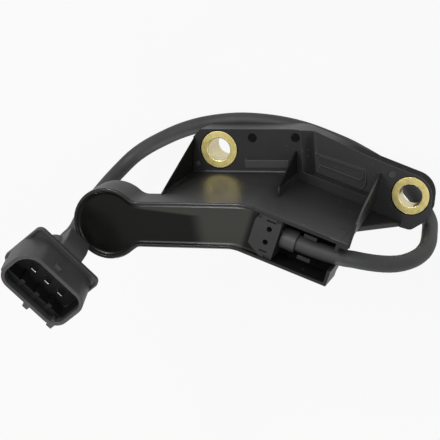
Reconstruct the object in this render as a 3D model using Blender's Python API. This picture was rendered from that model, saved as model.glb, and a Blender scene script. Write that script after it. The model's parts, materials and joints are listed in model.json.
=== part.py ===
# Camshaft position sensor: moulded flange housing with a potted tray, cable and connector
import math

import bmesh
import bpy
from mathutils import Matrix, Vector

mm = 0.001
gap = 0.3

# Flange, with its mounting face at z = 0 and the origin midway between the bolt bores
boltX = 26.68
boltY = 6.86
flangeThick = 10.0
earThick = 5.4
flangeMargin = 7.42
flangeLeft = -boltX - flangeMargin
flangeTop = 12.75
flangeBend = -2.6
earRadius = 6.05
ledgeEdge = -0.25
slant = math.radians(21.0)
bushRadius = 5.3
bushBore = 3.25
bushClear = 0.25
bushChamfer = 0.35

# Upright wall between the flange and the tray
wallTopArm = 0.35
wallTopBox = -2.75
wallDraft = 0.45
wallThick = 2.2
wallEnd = 18.5
skirtArm = -3.25
skirtBox = -6.35
gussetThick = 1.3
sideSlant = 1.3

# Tray: round pot, arm and cable box, all with one rim
trayBase = 34.0
trayDeep = 9.9
floorThick = 1.2
rimZ = trayBase + trayDeep
trayFloor = trayBase + floorThick
armTop = 0.0
armLow = -12.5
potCentre = (-47.9, -6.25)
potRadius = 9.86
potFillet = 4.0
boxTop = -3.05
boxLow = -16.2
boxEnd = 18.85
rimWall = 0.95

# Cable and its entry
cableRadius = 2.25
cableLift = 4.0
cableZ = trayFloor + cableLift
cableV = -9.35
cableStart = 5.2
notchHalf = 2.6
notchV = -9.05
ferruleStart = 3.9
ferruleLength = 3.7
ferruleRadius = 3.35

# Parts under the potting
pottingDrop = 0.7
pottingTop = rimZ - pottingDrop
stripLift = 2.8
stripZ = trayFloor + stripLift
stripThick = 0.4
stripWide = 1.15
stripPitchArm = 1.8
stripPitchBox = 1.6
magnetX = -49.2
magnetRadius = 3.0
channelWide = 6.6
coverDeep = 1.9
carrierDrop = 0.4
carrierTop = rimZ - carrierDrop
carrierLeft = -4.3
carrierRight = 2.9
carrierEdge = 1.3
carrierSkew = 3.7
pinHoleRadius = 0.78
pinHoleDeep = 2.6
chipLong = 6.0
chipWide = 5.2
chipThick = 1.5
blockLong = 1.6
blockThick = 0.8
blockX = -30.0

# Connector, in its own frame: along, across, and out of the mouth
plugOrigin = Vector((-60.5, -16.6, 54.6))
plugOut = Vector((0.17, -0.25, 0.953)).normalized()
plugAlong = Vector((-0.575, 0.768, 0.28))
collarLong = 22.4
collarWide = 15.2
collarThick = 1.4
shroudLong = 21.8
shroudLow = 7.2
shroudHigh = -6.1
shroudDeep = 9.4
shroudWall = 1.1
floorTop = 1.6
pinPitch = 4.8
pinShift = -0.4
shroudShift = -0.2
pinWide = 2.4
pinThick = 0.8
pinTip = 5.8
capLong = 11.4
capWide = 10.6
capDeep = 8.6
sealRadius = 3.6

# Points that the cable runs through, from the box to the connector
cableRoute = (
    (7.9, -13.0, cableZ),
    (15.2, -15.1, cableZ),
    (17.7, -15.6, 38.6),
    (20.7, -16.6, 37.2),
    (23.5, -17.6, 35.2),
    (26.1, -18.5, 32.6),
    (28.3, -19.2, 29.4),
    (30.0, -19.5, 26.0),
    (31.3, -19.6, 22.4),
    (32.1, -19.5, 18.6),
    (32.5, -19.1, 14.8),
    (32.4, -18.6, 10.9),
    (31.9, -18.2, 6.9),
    (31.2, -17.9, 2.8),
    (30.5, -17.6, -1.4),
    (29.6, -17.0, -5.4),
    (28.1, -15.8, -8.9),
    (26.1, -13.7, -11.5),
    (23.8, -11.0, -12.8),
    (21.4, -8.0, -12.7),
    (19.0, -5.1, -11.4),
    (16.5, -2.4, -9.4),
    (13.7, 0.2, -7.2),
    (10.7, 2.6, -5.3),
    (7.5, 4.8, -4.0),
    (1.6, 7.6, -3.1),
    (-4.6, 9.9, -3.0),
    (-11.1, 11.5, -3.0),
    (-17.7, 12.4, -3.0),
    (-24.3, 12.7, -3.0),
    (-31.0, 12.2, -3.0),
    (-37.5, 11.0, -3.4),
    (-44.1, 8.9, -4.4),
    (-50.7, 6.0, -5.8),
    (-55.4, 3.6, -6.4),
    (-59.6, 0.8, -5.9),
    (-62.7, -2.2, -3.7),
    (-64.8, -4.8, 0.2),
    (-65.6, -6.7, 5.4),
    (-65.6, -8.1, 11.6),
    (-65.0, -9.4, 18.4),
    (-64.0, -10.6, 25.4),
    (-62.9, -11.9, 32.4),
)


def clearScene():
    for thing in list(bpy.data.objects):
        bpy.data.objects.remove(thing, do_unlink=True)
    for group in list(bpy.data.collections):
        bpy.data.collections.remove(group)


clearScene()
partGroup = bpy.data.collections.new("camshaft_position_sensor")
cutGroup = bpy.data.collections.new("cutters")
bpy.context.scene.collection.children.link(partGroup)
bpy.context.scene.collection.children.link(cutGroup)


# Point in the flange frame from distances along and across the slanted cable box
def boxPoint(u, v):
    return (u * math.cos(slant) + v * math.sin(slant), v * math.cos(slant) - u * math.sin(slant))


# Where the arm's line at one height meets the box's line at one distance across
def lineMeet(level, across):
    return ((across - level * math.cos(slant)) / math.sin(slant), level)


# Corner points (x, y, radius) turned into a loop with arcs
def rounded(points, step=14.0):
    loop = []
    count = len(points)
    for i in range(count):
        here = Vector(points[i][:2])
        before = Vector(points[i - 1][:2]) - here
        after = Vector(points[(i + 1) % count][:2]) - here
        radius = points[i][2] if len(points[i]) > 2 else 0.0
        if radius <= 0.0:
            loop.append((here.x, here.y))
            continue
        before.normalize()
        after.normalize()
        half = before.angle(after) / 2
        centre = here + (before + after).normalized() * (radius / math.sin(half))
        first = here + before * (radius / math.tan(half)) - centre
        last = here + after * (radius / math.tan(half)) - centre
        sweep = math.atan2(first.x * last.y - first.y * last.x, first.dot(last))
        steps = max(2, int(abs(math.degrees(sweep)) / step + 0.5))
        for k in range(steps + 1):
            turn = Matrix.Rotation(sweep * k / steps, 2)
            spot = centre + turn @ first
            loop.append((spot.x, spot.y))
    return loop


def material(name, colour, rough=0.5, metal=0.0):
    made = bpy.data.materials.get(name)
    if made is None:
        made = bpy.data.materials.new(name)
        made.use_nodes = True
        shader = made.node_tree.nodes["Principled BSDF"]
        shader.inputs["Base Color"].default_value = (*colour, 1.0)
        shader.inputs["Roughness"].default_value = rough
        shader.inputs["Metallic"].default_value = metal
        made.diffuse_color = (*colour, 1.0)
    return made


def addMesh(name, shape, group, place=None):
    bmesh.ops.recalc_face_normals(shape, faces=shape.faces)
    mesh = bpy.data.meshes.new(name)
    shape.to_mesh(mesh)
    shape.free()
    mesh.transform(Matrix.Scale(mm, 4))
    if place is not None:
        mesh.transform(place)
    thing = bpy.data.objects.new(name, mesh)
    group.objects.link(thing)
    if group is cutGroup:
        thing.hide_render = True
        thing.display_type = "WIRE"
    return thing


# Solid through loops of equal length, given as (z, loop) from low to high
def layers(name, loops, group=None, place=None):
    shape = bmesh.new()
    rings = []
    for height, loop in loops:
        rings.append([shape.verts.new((x, y, height)) for x, y in loop])
    shape.faces.new(list(reversed(rings[0])))
    shape.faces.new(rings[-1])
    count = len(rings[0])
    for low, high in zip(rings, rings[1:]):
        for i in range(count):
            j = (i + 1) % count
            shape.faces.new((low[i], low[j], high[j], high[i]))
    return addMesh(name, shape, group or cutGroup, place)


def prism(name, loop, low, high, group=None, place=None):
    return layers(name, [(low, loop), (high, loop)], group, place)


def rectangle(low, high):
    return [low, (high[0], low[1]), high, (low[0], high[1])]


# Rectangle in the slanted directions of the cable box
def boxRectangle(low, high):
    return [boxPoint(u, v) for u, v in rectangle(low, high)]


def circle(centre, radius, count=32):
    return [
        (
            centre[0] + radius * math.cos(2 * math.pi * (k + 0.5) / count),
            centre[1] + radius * math.sin(2 * math.pi * (k + 0.5) / count),
        )
        for k in range(count)
    ]


# Round solid from (radius, z) rings, low to high
def turned(name, centre, profile, count=40, group=None, place=None):
    return layers(name, [(z, circle(centre, r, count)) for r, z in profile], group, place)


# Plate whose outline lies in the (along, up) plane and whose thickness runs across it
def sideways(name, outline, low, high, origin, along, up, group=None):
    along = Vector(along).normalized()
    up = Vector(up).normalized()
    across = along.cross(up)
    place = Matrix.Translation(Vector(origin) * mm) @ Matrix((along, up, across)).transposed().to_4x4()
    return prism(name, outline, low, high, group, place)


def boolean(target, tool, kind="DIFFERENCE", solver="EXACT"):
    step = target.modifiers.new("boolean", "BOOLEAN")
    step.operation = kind
    step.solver = solver
    step.object = tool
    bpy.context.view_layer.update()
    graph = bpy.context.evaluated_depsgraph_get()
    mesh = bpy.data.meshes.new_from_object(target.evaluated_get(graph))
    target.modifiers.remove(step)
    old = target.data
    target.data = mesh
    bpy.data.meshes.remove(old)
    return target


def join(target, *tools):
    for tool in tools:
        boolean(target, tool, "UNION")
    return target


def cut(target, *tools):
    for tool in tools:
        boolean(target, tool)
    return target


def tidyMesh(thing):
    shape = bmesh.new()
    shape.from_mesh(thing.data)
    bmesh.ops.remove_doubles(shape, verts=shape.verts, dist=0.00001)
    bmesh.ops.dissolve_limit(
        shape, angle_limit=math.radians(0.5), verts=shape.verts, edges=shape.edges
    )
    bmesh.ops.triangulate(shape, faces=shape.faces)
    bmesh.ops.remove_doubles(shape, verts=shape.verts, dist=0.00001)
    bmesh.ops.dissolve_degenerate(shape, dist=0.00001, edges=shape.edges)
    shape.to_mesh(thing.data)
    shape.free()


# Moves a built solid into the part under its node name
def finish(thing, name, skin, smooth=True, angle=30.0):
    thing.name = name
    thing.data.name = name
    for group in list(thing.users_collection):
        group.objects.unlink(thing)
    partGroup.objects.link(thing)
    thing.hide_render = False
    thing.display_type = "TEXTURED"
    tidyMesh(thing)
    thing.data.materials.clear()
    thing.data.materials.append(skin)
    if smooth:
        thing.data.shade_smooth()
        thing.data.set_sharp_from_angle(angle=math.radians(angle))
    return thing


housingSkin = material("blackNylon", (0.02, 0.02, 0.021), 0.28)
brassSkin = material("brass", (0.72, 0.52, 0.2), 0.25, 1.0)
pottingSkin = material("pottingResin", (0.028, 0.029, 0.022), 0.12)
carrierSkin = material("carrierPlastic", (0.045, 0.045, 0.045), 0.6)
cableSkin = material("cableJacket", (0.03, 0.03, 0.031), 0.65)
rubberSkin = material("sealRubber", (0.03, 0.03, 0.03), 0.7)
copperSkin = material("tinnedCopper", (0.65, 0.6, 0.55), 0.3, 1.0)
chipSkin = material("chipResin", (0.015, 0.015, 0.015), 0.5)
magnetSkin = material("magnetAlloy", (0.25, 0.25, 0.26), 0.4, 1.0)
steelSkin = material("plateSteel", (0.5, 0.5, 0.5), 0.35, 1.0)
ceramicSkin = material("capacitorCeramic", (0.45, 0.33, 0.22), 0.5)
connectorSkin = material("connectorNylon", (0.02, 0.02, 0.02), 0.35)
pinSkin = material("tinPlate", (0.75, 0.75, 0.74), 0.2, 1.0)


# Rim outline of the pot, arm and cable box, moved inward by one distance
def trayLoop(inset):
    px, py = potCentre
    radius = potRadius - inset
    fillet = potFillet + inset
    top = armTop - inset
    low = armLow + inset
    rise = top + fillet - py
    run = math.sqrt((radius + fillet) ** 2 - rise ** 2)
    lean = math.atan2(rise, run)
    loop = []
    steps = 7
    for k in range(steps + 1):
        angle = math.pi + lean + (math.pi / 2 - lean) * k / steps
        loop.append((px + run + fillet * math.cos(angle), top + fillet + fillet * math.sin(angle)))
    bendTop = lineMeet(top, boxTop - inset)
    bendLow = lineMeet(low, boxLow + inset)
    farTop = boxPoint(boxEnd - inset, boxTop - inset)
    farLow = boxPoint(boxEnd - inset, boxLow + inset)
    corners = rounded(
        [
            (loop[-1][0], loop[-1][1]),
            (bendTop[0], bendTop[1], 14.0 + inset),
            (farTop[0], farTop[1]),
            (farLow[0], farLow[1]),
            (bendLow[0], bendLow[1], 9.0 - inset),
            (px + run, low),
        ],
        5.0,
    )
    loop += corners[1:-1]
    for k in range(steps + 1):
        angle = math.pi / 2 + (math.pi / 2 - lean) * k / steps
        loop.append((px + run + fillet * math.cos(angle), low - fillet + fillet * math.sin(angle)))
    arcSteps = 34
    for k in range(1, arcSteps):
        angle = -lean - (2 * math.pi - 2 * lean) * k / arcSteps
        loop.append((px + radius * math.cos(angle), py + radius * math.sin(angle)))
    return loop[::-1]


# Plan of the upright wall, its upper side lowered by the draft
def wallLoop(drop):
    top = wallTopArm - drop
    across = wallTopBox - drop
    low = wallTopArm - wallThick
    deep = wallTopBox - wallThick
    bend = lineMeet(top, across)
    bendLow = lineMeet(low, deep)
    end = boxPoint(wallEnd, across)
    endLow = boxPoint(wallEnd, deep)
    return rounded(
        [
            (flangeLeft - sideSlant + 0.3, top),
            (flangeLeft - sideSlant + 0.3, low),
            (bendLow[0], bendLow[1], 12.0),
            endLow,
            end,
            (bend[0], bend[1], 14.0),
        ],
        5.0,
    )


# Plan of the flange and its ear, with one height for the straight upper edge
def flangeLoop(top):
    lowBend = lineMeet(skirtArm, skirtBox)
    right = [
        (boltX + earRadius * math.cos(math.radians(a)), -boltY + earRadius * math.sin(math.radians(a)))
        for a in range(-12, 67, 13)
    ]
    return rounded(
        [
            (flangeLeft - sideSlant, skirtArm, 1.5),
            (lowBend[0], lowBend[1], 10.0),
            (22.6, (skirtBox - 22.6 * math.sin(slant)) / math.cos(slant)),
            (23.4, -15.9, 0.5),
            (26.3, -16.7, 2.0),
            (30.3, -14.3, 3.0),
            (32.2, -10.9, 3.0),
            *right,
            (15.5, 4.05, 60.0),
            (flangeBend, top, 12.0),
            (flangeLeft + 2.3, top),
            (flangeLeft, 10.6),
        ],
        9.0,
    )


def buildHousing():
    # Flange, thick round the left-hand bore and thin from the middle bay on
    low = flangeLoop(flangeTop - 0.35)
    body = layers("housingBody", [(0.0, low), (flangeThick, flangeLoop(flangeTop))])
    ramp = [(-0.3, earThick), (60.0, earThick), (60.0, 14.0), (-4.1, 14.0)]
    cut(body, sideways("ramp", ramp, -30.0, 40.0, (0, 0, 0), (1, 0, 0), (0, 0, 1)))
    ledge = boxRectangle((-6.0, -4.0), (18.6, ledgeEdge))
    join(body, prism("ledge", ledge, 3.5, flangeThick - 0.05))

    # Upright wall and the tray on top of it
    wall = layers("wall", [(2.5, wallLoop(0.0)), (trayFloor + 0.8, wallLoop(wallDraft))])
    rim = trayLoop(0.0)
    tray = layers("tray", [(trayBase, trayLoop(0.55)), (trayBase + 0.55, rim), (rimZ, rim)])
    join(body, wall, tray)

    # Tip of the wall past the box, set back towards the flange
    tip = []
    for height, end in ((4.0, 18.7), (trayBase - 1.0, 19.7), (rimZ - 0.03, 21.2)):
        tip.append((height, boxRectangle((16.0, boxTop - 1.6), (end, boxTop - 0.03))))
    join(body, layers("wallTip", tip))

    # Left-hand gusset, along the slanted side and ending on the base of the tray
    fin = []
    for height, free in ((flangeThick - 2.0, 10.3), (flangeThick, 10.3), (trayBase + 2.4, -0.1)):
        foot = flangeLeft - sideSlant + 0.1
        edge = flangeLeft + 0.1 - sideSlant * (10.6 - free) / 11.8
        outline = [(foot, -1.2), (foot + gussetThick, -1.2), (edge + gussetThick, free), (edge, free)]
        fin.append((height, outline))
    join(body, layers("gussetLeft", fin))

    # Middle gusset, square to the arm
    midGusset = [
        (6.7, flangeThick - 2.0),
        (6.7, flangeThick),
        (0.0, trayBase - 2.0),
        (-1.6, trayBase - 2.0),
        (-3.3, flangeThick - 2.0),
    ]
    join(body, sideways("gussetMid", midGusset, 0.0, gussetThick, (-4.6, 0, 0), (0, 1, 0), (0, 0, 1)))
    # The right-hand one leans over and runs into the tip of the wall
    blade = []
    for height, lowLeft, lowRight, free in (
        (2.0, 17.6, 18.95, (18.8, -0.5)),
        (earThick, 17.6, 18.95, (18.8, -0.5)),
        (trayBase - 1.0, 18.6, 19.95, (20.4, -3.35)),
        (rimZ - 0.05, 20.2, 21.55, (21.05, -4.9)),
    ):
        foot = [boxPoint(lowLeft, -4.0), boxPoint(lowRight, -4.0)]
        blade.append((height, foot + [free, (free[0] - gussetThick, free[1] + 0.2)]))
    join(body, layers("gussetRight", blade))

    # Tapering rib from the box end down to the ear
    rib = [(17.2, 2.0), (27.2, 2.0), (27.4, 5.7), (26.9, 6.9)]
    rib += [(18.9, trayBase - 10.6), (17.2, trayBase - 7.4)]
    origin = boxPoint(0.0, -4.7)
    along = (math.cos(slant), -math.sin(slant), 0.0)
    join(body, sideways("rib", rib, 0.0, 1.5, (*origin, 0.0), along, (0, 0, 1)))

    # Brackets below the tray, the last of them in line with the end of the box
    across = (-math.sin(slant), -math.cos(slant), 0.0)
    bracket = [(3.4, 3.0), (6.1, 3.0), (6.1, trayBase - 10.8), (10.3, trayBase - 7.6)]
    bracket += [(13.4, trayBase - 2.0), (15.2, trayBase + 0.8), (3.4, trayBase + 0.8)]
    for tag, u, thick in (
        ("bracketEnd", boxEnd - 0.06, 1.2),
        ("bracketMid", 7.4, 1.4),
        ("bracketBend", -3.6, 1.4),
    ):
        origin = boxPoint(u, 0.0)
        join(body, sideways(tag, bracket, 0.0, thick, (*origin, 0.0), across, (0, 0, 1)))
    bracket = [(0.8, 3.0), (3.0, 3.0), (3.0, trayBase - 12.0), (7.0, trayBase - 7.6)]
    bracket += [(10.0, trayBase - 2.0), (11.4, trayBase + 0.8), (0.8, trayBase + 0.8)]
    for tag, x in (("bracketArm", -17.6), ("bracketLeft", flangeLeft + 1.5)):
        join(body, sideways(tag, bracket, 0.0, 1.4, (x, 0, 0), (0, -1, 0), (0, 0, 1)))

    # Bores for the bushings
    seat = bushRadius + bushClear
    for tag, x, y in (("boreLeft", -boltX, boltY), ("boreRight", boltX, -boltY)):
        cut(body, turned(tag, (x, y), [(seat, -1.0), (seat, 12.0)], 44))

    # Hollow of the tray
    cut(body, prism("hollow", trayLoop(rimWall), trayFloor, rimZ + 1.0))

    # Open slot for the cable in the end of the box
    slot = [(-notchHalf, 8.0)]
    for k in range(13):
        angle = math.pi + math.pi * k / 12
        slot.append((notchHalf * math.cos(angle), notchHalf * math.sin(angle)))
    slot.append((notchHalf, 8.0))
    origin = boxPoint(boxEnd - 2.0, notchV)
    cut(body, sideways("cableSlot", slot, -3.0, 1.9, (*origin, cableZ), across, (0, 0, 1)))

    # Jaws on both sides of the cable, a saddle below it and seats for the strips
    for tag, side in (("jawUpper", 1.0), ("jawLower", -1.0)):
        inner = cableV + side * (cableRadius + gap)
        outer = inner + side * 1.1
        jaw = boxRectangle((8.7, min(inner, outer)), (12.4, max(inner, outer)))
        join(body, prism(tag, jaw, trayFloor - 0.6, cableZ + 1.6))
    saddle = boxRectangle((9.3, -10.8), (11.2, -7.9))
    join(body, prism("saddle", saddle, trayFloor - 0.6, cableZ - cableRadius - gap - 0.02))
    for tag, x in (("seatA", -14.5), ("seatB", -27.0), ("seatC", -39.5)):
        rest = rectangle((x, -9.2), (x + 1.2, -3.3))
        join(body, prism(tag, rest, trayFloor - 0.6, stripZ - gap))

    # Raised pad with a long slot in the middle bay
    pad = [boxPoint(-0.4, 2.1), boxPoint(13.4, 2.1), boxPoint(13.0, 5.9), boxPoint(-1.6, 5.2)]
    join(body, prism("pad", rounded(pad, 30.0), earThick - 0.6, earThick + 0.6))

    # Low bar and the ejector marks in the left-hand bay
    bar = [(-19.2, 2.3), (-6.0, 1.6), (-6.0, 3.0), (-19.2, 3.7)]
    join(body, prism("bar", bar, flangeThick - 0.5, flangeThick + 0.3))
    for tag, spot, radius, top in (
        ("ejectorA", (-16.7, 10.2), 1.35, flangeThick),
        ("ejectorB", (-4.1, 10.3), 1.35, flangeThick),
        ("ejectorC", (21.7, -0.9), 1.2, earThick),
    ):
        cut(body, turned(tag, spot, [(radius, top - 0.25), (radius, top + 1.0)], 20))

    # Coring of the thick part from the mounting side
    low = (-boltX + bushRadius + 2.2, skirtArm + 2.85)
    high = (flangeBend - 3.8, flangeTop - 3.35)
    core = rounded([(x, y, 1.0) for x, y in rectangle(low, high)], 22.0)
    cut(body, prism("coreLeft", core, -1.0, flangeThick - 2.6))
    return finish(body, "housing", housingSkin, angle=32.0)


def buildBushings():
    for name, x, y, length in (
        ("bushing_left", -boltX, boltY, flangeThick),
        ("bushing_right", boltX, -boltY, earThick),
    ):
        outer = [
            (bushRadius - bushChamfer, 0.0),
            (bushRadius, bushChamfer),
            (bushRadius, length - bushChamfer),
            (bushRadius - bushChamfer, length),
        ]
        tube = turned(name, (x, y), outer, 44)
        bore = [
            (bushBore + 0.7, -0.2),
            (bushBore, 0.5),
            (bushBore, length - 0.5),
            (bushBore + 0.7, length + 0.2),
        ]
        cut(tube, turned(name + "Bore", (x, y), bore, 36))
        finish(tube, name, brassSkin)


# Flat strip along the arm that bends with the tray and ends beside the cable box
def bentStrip(name, level, across, start, end, low, high, wide):
    half = wide / 2
    upper = lineMeet(level + half, across + half)
    lower = lineMeet(level - half, across - half)
    tipUp = boxPoint(end, across + half)
    tipLow = boxPoint(end, across - half)
    loop = [(start, level - half), lower, tipLow, tipUp, upper, (start, level + half)]
    return prism(name, loop, low, high)


def buildPotting():
    rim = trayLoop(rimWall + gap)
    body = prism("pottingBody", rim, trayFloor + gap, pottingTop)
    # Ends against the carrier; the strips and the chip sit in pockets open below
    left = carrierLeft - gap
    skew = left + carrierSkew
    corner = boxLow + carrierEdge + carrierSkew * 0.6 - 0.17
    guard = (
        (left, boxTop + 15.0),
        (left, corner),
        (skew, boxLow + 0.9),
        (skew, boxLow - 14.0),
        (boxEnd + 11.0, boxLow - 14.0),
        (boxEnd + 11.0, boxTop + 15.0),
    )
    under = trayFloor - 5.0
    cut(body, prism("pottingEnd", [boxPoint(u, v) for u, v in guard], under, rimZ + 6.0))
    cover = stripZ + coverDeep
    cut(body, bentStrip("channel", potCentre[1], cableV, magnetX, 4.0, under, cover, channelWide))
    radius = magnetRadius * 1.8
    well = turned("well", (magnetX, potCentre[1]), [(radius, under), (radius, cover + 0.7)], 36)
    cut(body, well)
    finish(body, "potting_compound", pottingSkin)


def buildCarrier():
    outline = rounded(
        [
            (*boxPoint(carrierLeft + 0.7, boxTop - carrierEdge), 0.5),
            (*boxPoint(carrierLeft, boxTop - carrierEdge - 1.85),),
            (*boxPoint(carrierLeft, boxLow + carrierEdge + carrierSkew * 0.6), 0.5),
            (*boxPoint(carrierLeft + carrierSkew, boxLow + carrierEdge), 0.5),
            (*boxPoint(carrierRight, boxLow + carrierEdge), 0.3),
            (*boxPoint(carrierRight, boxTop - carrierEdge), 0.3),
        ],
        30.0,
    )
    body = prism("carrierBody", outline, trayFloor + gap, carrierTop)
    half = channelWide / 2 - 0.8
    groove = boxRectangle((carrierLeft - 1.7, cableV - half), (carrierRight + 2.1, cableV + half))
    cut(body, prism("carrierGroove", groove, trayFloor - 5.0, stripZ + coverDeep + 0.2))
    above = carrierTop + 2.5
    for tag, v in (("pinHoleA", cableV + 2.05), ("pinHoleB", cableV - 1.65)):
        hole = [(pinHoleRadius, carrierTop - pinHoleDeep), (pinHoleRadius, above)]
        cut(body, turned(tag, boxPoint(0.08, v), hole, 20))
    for tag, v, reach in (("slitA", boxTop - 2.1, 1.35), ("slitB", boxLow + 2.7, 1.1)):
        slit = boxRectangle((0.13 - reach, v - 0.22), (0.13 + reach, v + 0.22))
        cut(body, prism(tag, slit, carrierTop - 0.8, above))
    finish(body, "terminal_carrier", carrierSkin)


def buildSensorStack():
    centre = (magnetX, potCentre[1])
    base = trayFloor + gap
    radius = magnetRadius * 1.5
    pole = turned("pole", centre, [(radius, base), (radius, base + 0.5)], 36)
    finish(pole, "pole_plate", steelSkin)
    low = base + 0.5 + gap
    high = stripZ + stripThick
    radius = magnetRadius
    rings = [(radius - 0.2, low), (radius, low + 0.2), (radius, high - 0.2), (radius - 0.2, high)]
    finish(turned("magnet", centre, rings, 32), "bias_magnet", magnetSkin)
    base = stripZ + stripThick + gap
    left = magnetX - chipLong * 0.27
    level = potCentre[1]
    half = chipWide / 2
    chip = rectangle((left, level - half), (left + chipLong, level + half))
    inner = rectangle((left + 0.2, level - half + 0.2), (left + chipLong - 0.2, level + half - 0.2))
    stack = [(base, inner), (base + chipThick * 0.4, chip), (base + chipThick, inner)]
    finish(layers("chip", stack), "hall_ic", chipSkin)
    start = magnetX + magnetRadius + 0.4
    for k, (level, across) in enumerate(
        (
            (potCentre[1] + stripPitchArm, cableV + stripPitchBox),
            (potCentre[1], cableV),
            (potCentre[1] - stripPitchArm, cableV - stripPitchBox),
        )
    ):
        strip = bentStrip("strip", level, across, start, -1.2, stripZ, stripZ + stripThick, stripWide)
        finish(strip, f"lead_strip_{k + 1}", copperSkin)
    for k, side in enumerate((0.5, -0.5)):
        level = potCentre[1] + side * stripPitchArm
        x = blockX + blockLong * 2.5 * k
        half = blockLong / 2
        block = rectangle((x, level - half), (x + blockLong, level + half))
        finish(prism("capacitor", block, base, base + blockThick), f"capacitor_{k + 1}", ceramicSkin)


# Evenly spaced points on a smooth curve through the given ones
def smoothRoute(points, spacing):
    spots = [Vector(p) for p in points]
    dense = []
    for i in range(len(spots) - 1):
        before = spots[max(i - 1, 0)]
        here = spots[i]
        after = spots[i + 1]
        beyond = spots[min(i + 2, len(spots) - 1)]
        span = (after - here).length
        startSlope = (after - before) / ((after - here).length + (here - before).length) * span
        endSlope = (beyond - here) / ((beyond - after).length + (after - here).length) * span
        for k in range(24):
            t = k / 24
            dense.append(
                here * (2 * t ** 3 - 3 * t ** 2 + 1)
                + startSlope * (t ** 3 - 2 * t ** 2 + t)
                + after * (3 * t ** 2 - 2 * t ** 3)
                + endSlope * (t ** 3 - t ** 2)
            )
    dense.append(spots[-1])
    total = sum((b - a).length for a, b in zip(dense, dense[1:]))
    count = int(total / spacing + 0.5)
    out = [dense[0]]
    walked = 0.0
    mark = total / count
    for a, b in zip(dense, dense[1:]):
        step = (b - a).length
        while walked + step >= mark - 1e-9 and len(out) < count:
            out.append(a.lerp(b, (mark - walked) / step))
            mark += total / count
        walked += step
    out.append(dense[-1])
    return out, total


def wire(name, points, radius, sides=2):
    curve = bpy.data.curves.new(name, "CURVE")
    curve.dimensions = "3D"
    curve.bevel_depth = radius * mm
    curve.bevel_resolution = sides
    curve.use_fill_caps = True
    line = curve.splines.new("POLY")
    line.points.add(len(points) - 1)
    for spot, place in zip(line.points, points):
        spot.co = (*(Vector(place) * mm), 1.0)
    thing = bpy.data.objects.new(name, curve)
    cutGroup.objects.link(thing)
    bpy.context.view_layer.update()
    graph = bpy.context.evaluated_depsgraph_get()
    mesh = bpy.data.meshes.new_from_object(thing.evaluated_get(graph))
    solid = bpy.data.objects.new(name, mesh)
    bpy.data.objects.remove(thing, do_unlink=True)
    cutGroup.objects.link(solid)
    shape = bmesh.new()
    shape.from_mesh(mesh)
    bmesh.ops.remove_doubles(shape, verts=shape.verts, dist=0.00001)
    bmesh.ops.recalc_face_normals(shape, faces=shape.faces)
    shape.to_mesh(mesh)
    shape.free()
    return solid


plugAcross = plugOut.cross(plugAlong).normalized()
plugAlong = plugAcross.cross(plugOut).normalized()
plugTurn = Matrix((plugAlong, plugAcross, plugOut)).transposed().to_4x4()
plugPlace = Matrix.Translation(plugOrigin * mm) @ plugTurn


def plugPoint(along, across, out):
    return plugOrigin + plugAlong * along + plugAcross * across + plugOut * out


def buildCable():
    start = (*boxPoint(cableStart, cableV), cableZ)
    entry = plugPoint(0.0, 0.0, -capDeep - 5.2)
    end = plugPoint(0.0, 0.0, -capDeep + 2.0)
    route = [start, *cableRoute, entry, end]
    points, total = smoothRoute(route, 4.4)
    print("cable length mm", round(total, 1), "points", len(points))
    finish(wire("cableTube", points, cableRadius, 3), "cable", cableSkin, angle=60.0)
    # Sleeve round the cable end, with a waist behind its head
    first = ferruleStart
    outline = [
        (ferruleRadius - 0.4, 0.0),
        (ferruleRadius, 0.4),
        (ferruleRadius, ferruleLength - 0.4),
        (ferruleRadius - 0.4, ferruleLength),
    ]
    axis = Vector((math.cos(slant), -math.sin(slant), 0.0))
    side = Vector((0.0, 0.0, 1.0))
    place = Matrix.Translation(Vector((*boxPoint(first, cableV), cableZ)) * mm)
    place = place @ Matrix((side.cross(axis), side, axis)).transposed().to_4x4()
    sleeve = turned("sleeve", (0, 0), outline, 32, place=place)
    hole = [(cableRadius + gap, -1.0), (cableRadius + gap, ferruleLength + 1.0)]
    cut(sleeve, turned("sleeveHole", (0, 0), hole, 28, place=place))
    finish(sleeve, "cable_ferrule", connectorSkin)
    for k, shift in enumerate((stripPitchBox, 0.0, -stripPitchBox)):
        near = 0.82 * shift
        points = [
            (*boxPoint(cableStart - gap, cableV + near), cableZ),
            (*boxPoint(3.6, cableV + near), cableZ),
            (*boxPoint(2.4, cableV + shift), cableZ),
            (*boxPoint(-3.4, cableV + shift), cableZ),
        ]
        finish(wire("core", points, 0.5, 2), f"core_wire_{k + 1}", copperSkin)


# Corner list in the connector frame, with one radius at each end of its width
def plugBox(low, high, radius=0.0, radiusHigh=None):
    top = radius if radiusHigh is None else radiusHigh
    return rounded(
        [
            (low[0], low[1], top),
            (high[0], low[1], top),
            (high[0], high[1], radius),
            (low[0], high[1], radius),
        ],
        18.0,
    )


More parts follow.
